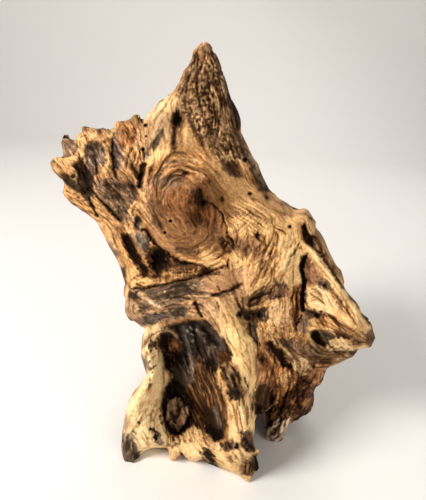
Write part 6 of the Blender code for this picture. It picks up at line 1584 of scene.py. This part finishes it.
def drawn_mass(name, mass, voxel):
    curve = bpy.data.curves.new(name, "CURVE")
    curve.dimensions = "2D"
    curve.fill_mode = "BOTH"
    curve.extrude = 0.004
    spline = curve.splines.new("POLY")
    spline.points.add(len(mass.outline) - 1)
    for point, (u, v) in zip(spline.points, mass.outline):
        point.co = (u / 1000, -v / 1000, 0, 1)
    spline.use_cyclic_u = True
    guide = bpy.data.objects.new(name, curve)
    wood.objects.link(guide)
    slab = bpy.data.objects.new(name + "_slab", tidy(baked(guide, name)))
    wood.objects.link(slab)
    bpy.data.objects.remove(guide, do_unlink=True)
    bpy.data.curves.remove(curve)
    remesh = slab.modifiers.new("Even faces", "REMESH")
    remesh.mode = "VOXEL"
    remesh.voxel_size = voxel
    swap_mesh(slab, baked(slab, name))
    flat = points_of(slab.data)
    u, v = flat[:, 0] * 1000, -flat[:, 1] * 1000
    toward_back = np.clip((flat[:, 2] + 0.003) / 0.006, 0, 1)
    near, far, _ = mass.surfaces(u, v)
    move_points(slab.data, to_space(u, v, near * (1 - toward_back) + far * toward_back) / 1000)
    return slab


def stub(name, route):
    curve = bpy.data.curves.new(name, "CURVE")
    curve.dimensions = "3D"
    curve.bevel_depth = 0.001
    curve.bevel_resolution = 6
    curve.resolution_u = 12
    curve.use_fill_caps = True
    spline = curve.splines.new("BEZIER")
    spline.bezier_points.add(len(route) - 1)
    for point, (place, radius) in zip(spline.bezier_points, route):
        point.co = [c / 1000 for c in place]
        point.radius = radius
        point.handle_left_type = point.handle_right_type = "AUTO"
    obj = bpy.data.objects.new(name, curve)
    wood.objects.link(obj)
    made = bpy.data.objects.new(name + "_solid", tidy(baked(obj, name)))
    bpy.data.objects.remove(obj, do_unlink=True)
    bpy.data.curves.remove(curve)
    wood.objects.link(made)
    return made


def joined(objects, name):
    bm = bmesh.new()
    for obj in objects:
        bm.from_mesh(obj.data)
    mesh = bpy.data.meshes.new(name)
    bm.to_mesh(mesh)
    bm.free()
    for obj in objects:
        data = obj.data
        bpy.data.objects.remove(obj, do_unlink=True)
        bpy.data.meshes.remove(data)
    made = bpy.data.objects.new(name, mesh)
    wood.objects.link(made)
    return made


def one_skin(obj, voxel, smooth):
    remesh = obj.modifiers.new("Skin", "REMESH")
    remesh.mode = "VOXEL"
    remesh.voxel_size = voxel
    if smooth:
        soften = obj.modifiers.new("Soften", "SMOOTH")
        soften.factor = 0.5
        soften.iterations = smooth
    swap_mesh(obj, baked(obj, obj.name))


def front_share(p):
    """How far each point belongs to the drawn front, and its place on the plane."""
    u, v = to_plane(p)
    on_body = inside_outline(u, v, BODY_OUTLINE)
    near, far, _ = body_mass.surfaces(u, v)
    near_leg, far_leg, _ = leg_mass.surfaces(u, v)
    near = np.where(on_body, near, near_leg)
    far = np.where(on_body, far, far_leg)
    t = (p[:, 1] - near) / np.maximum(far - near, 4.0)
    return 1 - smoothstep(0.12, 0.42, t), u, v


# --------------------------------------------------------------- the skin
masses = [drawn_mass("body", body_mass, 0.0012), drawn_mass("leg", leg_mass, 0.0012)]
masses += [stub(name, route) for name, route in REAR_STUBS]
bog = joined(masses, "bogwood_skin")
one_skin(bog, 0.0016, 5)


def hollow_underside(p):
    x, y, z = p.T
    lift = np.full(len(p), UNDER_CLEARANCE) * np.clip((y - 236) / 16, 0, 1)
    for fx, fy, size in FEET:
        near = np.exp(-(((x - fx) ** 2 + (y - fy) ** 2) / (FOOT_RADIUS * size) ** 2) ** 1.5)
        lift = lift * (1 - near) - 3.0 * near
    z = np.where((y > 226) & (z < lift), lift, z)
    return np.stack([x, y, np.maximum(z, 1.2)], 1)


def broad_sculpt(p, n, front):
    push = np.zeros(len(p))
    for x, y, z, radius, depth in BACK_SCULPT:
        push += depth * np.exp(-((p - (x, y, z)) ** 2).sum(1) / radius**2)
    behind = np.clip((p[:, 1] - 272) / 22, 0, 1) * np.clip((285 - p[:, 2]) / 30, 0.25, 1)
    ridges = 1 - 2 * np.abs(2 * noise(along_grain(p, FLUTE_WIDTH)) - 1)
    ridges += 0.4 * (1 - 2 * np.abs(2 * noise(along_grain(p, FLUTE_WIDTH * 0.45) + 9.7) - 1))
    push += behind * FLUTE_HEIGHT * ridges
    return p + n * (push * (1 - front))[:, None]


p, n = points_of(bog.data) * 1000, normals_of(bog.data)
front, _, _ = front_share(p)
p = hollow_underside(broad_sculpt(p, n, front))
move_points(bog.data, p / 1000)
one_skin(bog, SKIN_VOXEL, 2)


def torn(p):
    """Fine torn relief of the hidden sides: height in mm and a tone from 0 to 1."""
    ridge = lambda w, o: 1 - 2 * np.abs(2 * noise(along_grain(p, w) + o) - 1)
    big = ridge(11.0, 3.1)
    mid = ridge(5.2, 17.3)
    small = ridge(2.4, 29.9)
    soft = noise(p / 34.0 + 5.5)
    height = (1.3 * big + 0.9 * mid + 0.4 * small) * (0.45 + 1.1 * soft)
    # long splits that open along the grain and close again
    splits = np.zeros(len(p))
    for w, o, wide in ((15.0, 8.8, 0.085), (9.0, 61.3, 0.075)):
        path = np.abs(noise(along_grain(p, w) + o) - 0.5)
        opened = smoothstep(0.46, 0.60, noise(p / 24.0 + o))
        splits = np.maximum(splits, (1 - smoothstep(0.35 * wide, wide, path)) * opened)
    height = height - 3.4 * splits
    return height, big, mid, small, splits


p, n = points_of(bog.data) * 1000, normals_of(bog.data)
front, u, v = front_share(p)
height, *_ = torn(p)
p = p + n * (height * (1 - front))[:, None]
detail = sample(DETAIL, u, v) * front
ray = (p - (0, 0, VIEW_HEIGHT)) / p[:, 1:2]
p = p + ray * detail[:, None]
u, v = to_plane(p)
out = ~(inside_outline(u, v, BODY_OUTLINE) | inside_outline(u, v, LEG_OUTLINE))
out = np.nonzero(out)[0]
body_u, body_v, body_gap = onto_outline(u[out], v[out], BODY_OUTLINE)
leg_u, leg_v, leg_gap = onto_outline(u[out], v[out], LEG_OUTLINE)
on_leg = leg_gap < body_gap
p[out] = to_space(np.where(on_leg, leg_u, body_u), np.where(on_leg, leg_v, body_v), p[out, 1])
p[:, 2] = np.maximum(p[:, 2], 1.2)
move_points(bog.data, p / 1000)

# the drawn front keeps its fine faces; the hidden sides give theirs up
hidden_group = bog.vertex_groups.new(name="hidden")
facing = -(n * ray).sum(1) / np.linalg.norm(ray, axis=1)
fine_part = np.zeros(len(p), bool)
fine_part[np.argsort(-front * facing, kind="stable")[:FINE_POINTS]] = True
hidden_group.add(np.nonzero(fine_part)[0].tolist(), 0.0, "REPLACE")
hidden_group.add(np.nonzero(~fine_part)[0].tolist(), 1.0, "REPLACE")
fewer = bog.modifiers.new("Fewer faces", "DECIMATE")
count = sum(len(face.vertices) - 2 for face in bog.data.polygons)
fewer.vertex_group = "hidden"
fewer.ratio = min(1.0, TRIANGLES / count)
swap_mesh(bog, baked(bog, "bogwood_skin"))

# ---------------------------------------------------------------- attributes
p, n = points_of(bog.data) * 1000, normals_of(bog.data)
p[:, 2] = np.maximum(p[:, 2], 1.2)
front, u, v = front_share(p)
height, big, mid, small, splits = torn(p)
painted = sample(COLOUR, u, v)

base = np.clip(0.5 + 0.28 * big + 0.16 * mid + 0.1 * small, 0, 1)
patchy = noise(p / 21.0 + 40.2)
strand = noise(along_grain(p, 3.2) * (1, 1, 0.7) + 77.1) - 0.5
fine = noise(along_grain(p, 1.8) * (1, 1, 0.5) + 51.4) - 0.5
base = base + 0.5 * strand + 0.35 * fine
hidden = BROWN + (PALE - BROWN) * smoothstep(0.30, 0.80, base)[:, None]
hidden = hidden + (CREAM - hidden) * (smoothstep(0.62, 0.95, base) * smoothstep(0.38, 0.62, patchy))[:, None]
greyed = smoothstep(0.50, 0.66, noise(along_grain(p, 19.0) + 21.9) + 0.25 * strand)
hidden = hidden + (rgb(136, 112, 92) - hidden) * (0.6 * greyed)[:, None]
hidden = hidden + (DARK - hidden) * (smoothstep(0.36, 0.02, base) * 0.85)[:, None]
burnt = noise(along_grain(p, 17.0) * (1, 1, 1.7) + 12.7) + 0.30 * strand + 0.30 * fine
hidden = hidden + (CHAR - hidden) * (smoothstep(0.70, 0.77, burnt) * 0.9)[:, None]
for x, y, z, radius, depth in BACK_SCULPT:
    if depth < 0:
        sunk = np.exp(-((p - (x, y, z)) ** 2).sum(1) / (0.8 * radius) ** 2) * (0.75 + 0.9 * strand + 0.9 * fine)
        hidden = hidden + (rgb(70, 50, 36) - hidden) * np.clip(sunk * min(1.0, -depth / 12), 0, 0.85)[:, None]
hidden = hidden + (BLACK - hidden) * (0.92 * splits)[:, None]
colour = painted * front[:, None] + hidden * (1 - front)[:, None]


def store(mesh, name, values, kind):
    attribute = mesh.attributes.new(name, kind, "POINT")
    key = {"FLOAT": "value", "FLOAT_VECTOR": "vector", "FLOAT_COLOR": "color"}[kind]
    attribute.data.foreach_set(key, np.asarray(values, np.float32).ravel())


def to_linear(c):
    c = np.clip(c, 0, 1)
    return np.where(c <= 0.04045, c / 12.92, ((c + 0.055) / 1.055) ** 2.4)


mesh = bog.data
store(mesh, "wood_tint", np.c_[to_linear(colour), np.ones(len(colour))], "FLOAT_COLOR")
cos2 = sample(np.cos(2 * ANGLE), u, v) * front + (-1.0) * (1 - front)
sin2 = sample(np.sin(2 * ANGLE), u, v) * front
sway = noise(p / 16.0 + 33.3)[:, None] * (5.0, 5.0, 0) + noise(p / 6.0 + 71.0)[:, None] * (1.2, -1.2, 0)
store(mesh, "grain_place", along_grain(p, 1.0) + sway, "FLOAT_VECTOR")
store(mesh, "grain_way", np.stack([cos2, sin2, front], 1), "FLOAT_VECTOR")
store(mesh, "coarse", sample(ROUGH, u, v) * front + 0.8 * (1 - front), "FLOAT")
store(mesh, "sheen_mask", sample(GLOSS, u, v) * front, "FLOAT")

move_points(mesh, (p - ORIGIN) / 1000)
mesh.shade_smooth()

# ------------------------------------------------------------------ material
material = bpy.data.materials.new("weathered_wood")
material.use_nodes = True
nodes, links = material.node_tree.nodes, material.node_tree.links
nodes.clear()


def node(kind, **settings):
    made = nodes.new(kind)
    for key, value in settings.items():
        setattr(made, key, value)
    return made


def attribute(name, socket):
    made = node("ShaderNodeAttribute", attribute_name=name)
    return made.outputs[socket]


def math_node(operation, a, b=None, clamp=False):
    made = node("ShaderNodeMath", operation=operation, use_clamp=clamp)
    for index, value in enumerate((a, b)):
        if value is None:
            continue
        if isinstance(value, (int, float)):
            made.inputs[index].default_value = value
        else:
            links.new(value, made.inputs[index])
    return made.outputs[0]


output = node("ShaderNodeOutputMaterial")
shader = node("ShaderNodeBsdfPrincipled")
links.new(shader.outputs[0], output.inputs[0])
geometry = node("ShaderNodeTexCoord")
tint = attribute("wood_tint", "Color")
way = node("ShaderNodeSeparateXYZ")
links.new(attribute("grain_way", "Vector"), way.inputs[0])

# fibres: six stretched noises, each along its own way over the picture plane,
# blended by how near the wood's grain lies to that way
plane_x = Vector((SIDE[0], FORWARD[0], -DOWN[0]))
plane_y = Vector((SIDE[1], FORWARD[1], -DOWN[1]))
plane_z = Vector((SIDE[2], FORWARD[2], -DOWN[2]))
WAYS = 6
fibre_sum = None
weight_sum = None
for k in range(WAYS):
    a = math.pi * k / WAYS
    along = plane_x * math.cos(a) + plane_y * math.sin(a)
    across = plane_y * math.cos(a) - plane_x * math.sin(a)
    parts = []
    for axis, scale in ((along, 260.0), (across, 980.0), (plane_z, 500.0)):
        dot = node("ShaderNodeVectorMath", operation="DOT_PRODUCT")
        links.new(geometry.outputs["Object"], dot.inputs[0])
        dot.inputs[1].default_value = axis * scale
        parts.append(dot.outputs["Value"])
    combine = node("ShaderNodeCombineXYZ")
    for index, part in enumerate(parts):
        links.new(part, combine.inputs[index])
    grain = node("ShaderNodeTexNoise")
    grain.inputs["Scale"].default_value = 1.0
    grain.inputs["Detail"].default_value = 3.0
    grain.inputs["Roughness"].default_value = 0.7
    links.new(combine.outputs[0], grain.inputs["Vector"])
    lean = math_node(
        "ADD",
        math_node("MULTIPLY", way.outputs[0], math.cos(2 * a)),
        math_node("MULTIPLY", way.outputs[1], math.sin(2 * a)),
    )
    weight = math_node("POWER", math_node("MAXIMUM", lean, 0.0), 3.0)
    weighted = math_node("MULTIPLY", weight, grain.outputs["Fac"])
    fibre_sum = weighted if fibre_sum is None else math_node("ADD", fibre_sum, weighted)
    weight_sum = weight if weight_sum is None else math_node("ADD", weight_sum, weight)
drawn_fibres = math_node("DIVIDE", fibre_sum, math_node("ADD", weight_sum, 0.001))

# the hidden sides: fibres, strands and drying cracks along the trunk's own twist
place = attribute("grain_place", "Vector")


def stretched(across, along, detail):
    scaled = node("ShaderNodeVectorMath", operation="MULTIPLY")
    links.new(place, scaled.inputs[0])
    scaled.inputs[1].default_value = (1 / across, 1 / across, FLUTE_LENGTH / along)
    made = node("ShaderNodeTexNoise")
    made.inputs["Scale"].default_value = 1.0
    made.inputs["Detail"].default_value = detail
    made.inputs["Roughness"].default_value = 0.65
    links.new(scaled.outputs[0], made.inputs["Vector"])
    return made.outputs["Fac"]


side_fibres = math_node("ADD", math_node("MULTIPLY", stretched(1.1, 11.0, 3.0), 0.75), math_node("MULTIPLY", stretched(3.4, 34.0, 2.0), 0.45))
side_fibres = math_node("SUBTRACT", side_fibres, 0.11)
drawn = way.outputs[2]
hidden_share = math_node("SUBTRACT", 1.0, drawn, clamp=True)
fibres = math_node("ADD", math_node("MULTIPLY", drawn_fibres, drawn), math_node("MULTIPLY", side_fibres, hidden_share))
split = math_node("ABSOLUTE", math_node("SUBTRACT", stretched(6.0, 52.0, 2.0), 0.5))
cracks = node("ShaderNodeMapRange")
cracks.inputs["From Min"].default_value = 0.006
cracks.inputs["From Max"].default_value = 0.022
cracks.inputs["To Min"].default_value = 0.75
cracks.inputs["To Max"].default_value = 0.0
links.new(split, cracks.inputs["Value"])
crack_level = math_node("SUBTRACT", 1.0, math_node("MULTIPLY", cracks.outputs[0], hidden_share))

speckle = node("ShaderNodeTexNoise")
speckle.inputs["Scale"].default_value = 850.0
speckle.inputs["Detail"].default_value = 3.0
links.new(geometry.outputs["Object"], speckle.inputs["Vector"])

# colour: the tint, streaked by the fibres
streak = node("ShaderNodeMapRange")
streak.inputs["From Min"].default_value = 0.30
streak.inputs["From Max"].default_value = 0.68
streak.inputs["To Min"].default_value = 0.22
streak.inputs["To Max"].default_value = 1.62
links.new(fibres, streak.inputs["Value"])
fleck = node("ShaderNodeMapRange")
fleck.inputs["From Min"].default_value = 0.3
fleck.inputs["From Max"].default_value = 0.7
fleck.inputs["To Min"].default_value = 0.82
fleck.inputs["To Max"].default_value = 1.16
links.new(speckle.outputs["Fac"], fleck.inputs["Value"])
streak_level = math_node("ADD", 1.0, math_node("MULTIPLY", math_node("SUBTRACT", streak.outputs[0], 1.0), math_node("ADD", 0.2, attribute("coarse", "Fac"))))
shade = math_node("MULTIPLY", math_node("MULTIPLY", streak_level, fleck.outputs[0]), crack_level)
toned = node("ShaderNodeVectorMath", operation="SCALE")
links.new(tint, toned.inputs[0])
links.new(shade, toned.inputs["Scale"])
links.new(toned.outputs[0], shader.inputs["Base Color"])

# roughness: dry wood, glossier where it is charred or polished
sheen = attribute("sheen_mask", "Fac")
rough = math_node("SUBTRACT", math_node("ADD", 0.66, math_node("MULTIPLY", fibres, 0.25)), math_node("MULTIPLY", sheen, 0.38))
links.new(rough, shader.inputs["Roughness"])
lightness = node("ShaderNodeRGBToBW")
links.new(tint, lightness.inputs[0])
gleam = math_node("MINIMUM", math_node("MULTIPLY", lightness.outputs[0], 1.6), 0.25)
links.new(math_node("ADD", gleam, math_node("MULTIPLY", sheen, 0.30)), shader.inputs["Specular IOR Level"])

bump = node("ShaderNodeBump")
bump.inputs["Strength"].default_value = 0.9
bump.inputs["Distance"].default_value = 0.0011
coarse = attribute("coarse", "Fac")
height_value = math_node("ADD", math_node("MULTIPLY", fibres, math_node("ADD", 0.35, coarse)), math_node("MULTIPLY", speckle.outputs["Fac"], 0.25))
height_value = math_node("ADD", height_value, crack_level)
links.new(height_value, bump.inputs["Height"])
links.new(bump.outputs[0], shader.inputs["Normal"])
mesh.materials.clear()
mesh.materials.append(material)

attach(bog, "root")
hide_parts("bogwood")

# ------------------------------------------------------------ floor and light
bpy.ops.mesh.primitive_plane_add(size=1)
floor = bpy.context.active_object
floor.name = "floor"
bm = bmesh.new()
profile = [(-1.6, 0.0)] + [(0.95 + 0.35 * math.sin(a), 0.35 - 0.35 * math.cos(a)) for a in np.linspace(0, math.pi / 2, 24)] + [(1.3, 2.2)]
rows = [[bm.verts.new((x, y, z)) for y, z in profile] for x in (-2.2, 2.2)]
for i in range(len(profile) - 1):
    bm.faces.new((rows[0][i], rows[1][i], rows[1][i + 1], rows[0][i + 1]))
bm.to_mesh(floor.data)
bm.free()
floor.data.shade_smooth()
plain = bpy.data.materials.new("pale_floor")
plain.use_nodes = True
plain.node_tree.nodes["Principled BSDF"].inputs["Base Color"].default_value = (0.80, 0.78, 0.75, 1)
plain.node_tree.nodes["Principled BSDF"].inputs["Roughness"].default_value = 0.9
floor.data.materials.append(plain)


def lamp(name, place, target, size, power, colour):
    light = bpy.data.lights.new(name, "AREA")
    light.shape = "DISK"
    light.size = size
    light.energy = power
    light.color = colour
    obj = bpy.data.objects.new(name, light)
    obj.location = place
    obj.rotation_euler = (Vector(target) - Vector(place)).to_track_quat("-Z", "Y").to_euler()
    bpy.context.scene.collection.objects.link(obj)
    return obj


lamp("window", (-0.80, -0.50, 0.85), (0, 0, 0.13), 0.42, 17.5, (1.0, 0.98, 0.95))
lamp("fill", (0.9, -0.8, 0.5), (0, 0, 0.12), 0.9, 5.5, (1.0, 0.97, 0.93))
lamp("back", (0.2, 0.9, 0.9), (0, 0, 0.15), 0.8, 5.0, (1.0, 0.98, 0.96))

world = bpy.context.scene.world or bpy.data.worlds.new("studio")
bpy.context.scene.world = world
world.use_nodes = True
world.node_tree.nodes["Background"].inputs[0].default_value = (1.0, 0.98, 0.95, 1)
world.node_tree.nodes["Background"].inputs[1].default_value = 0.30
bpy.context.scene.view_settings.view_transform = "Standard"
bpy.context.scene.view_settings.look = "None"

# ---------------------------------------------------------------------- camera
camera = bpy.data.cameras.new("camera")
camera.sensor_width = 36.0
camera.lens = FOCAL * 36.0 / 500.0
camera.clip_start = 0.01
eye = bpy.data.objects.new("camera", camera)
right = (SIDE[0], FORWARD[0], -DOWN[0])
up = (-SIDE[1], -FORWARD[1], DOWN[1])
back = (-SIDE[2], -FORWARD[2], DOWN[2])
eye.matrix_world = Matrix((
    (right[0], up[0], back[0], -ORIGIN[0] / 1000),
    (right[1], up[1], back[1], -ORIGIN[1] / 1000),
    (right[2], up[2], back[2], (VIEW_HEIGHT - ORIGIN[2]) / 1000),
    (0, 0, 0, 1),
))
bpy.context.scene.collection.objects.link(eye)
bpy.context.scene.camera = eye

print("triangles", sum(len(f.vertices) - 2 for f in mesh.polygons))
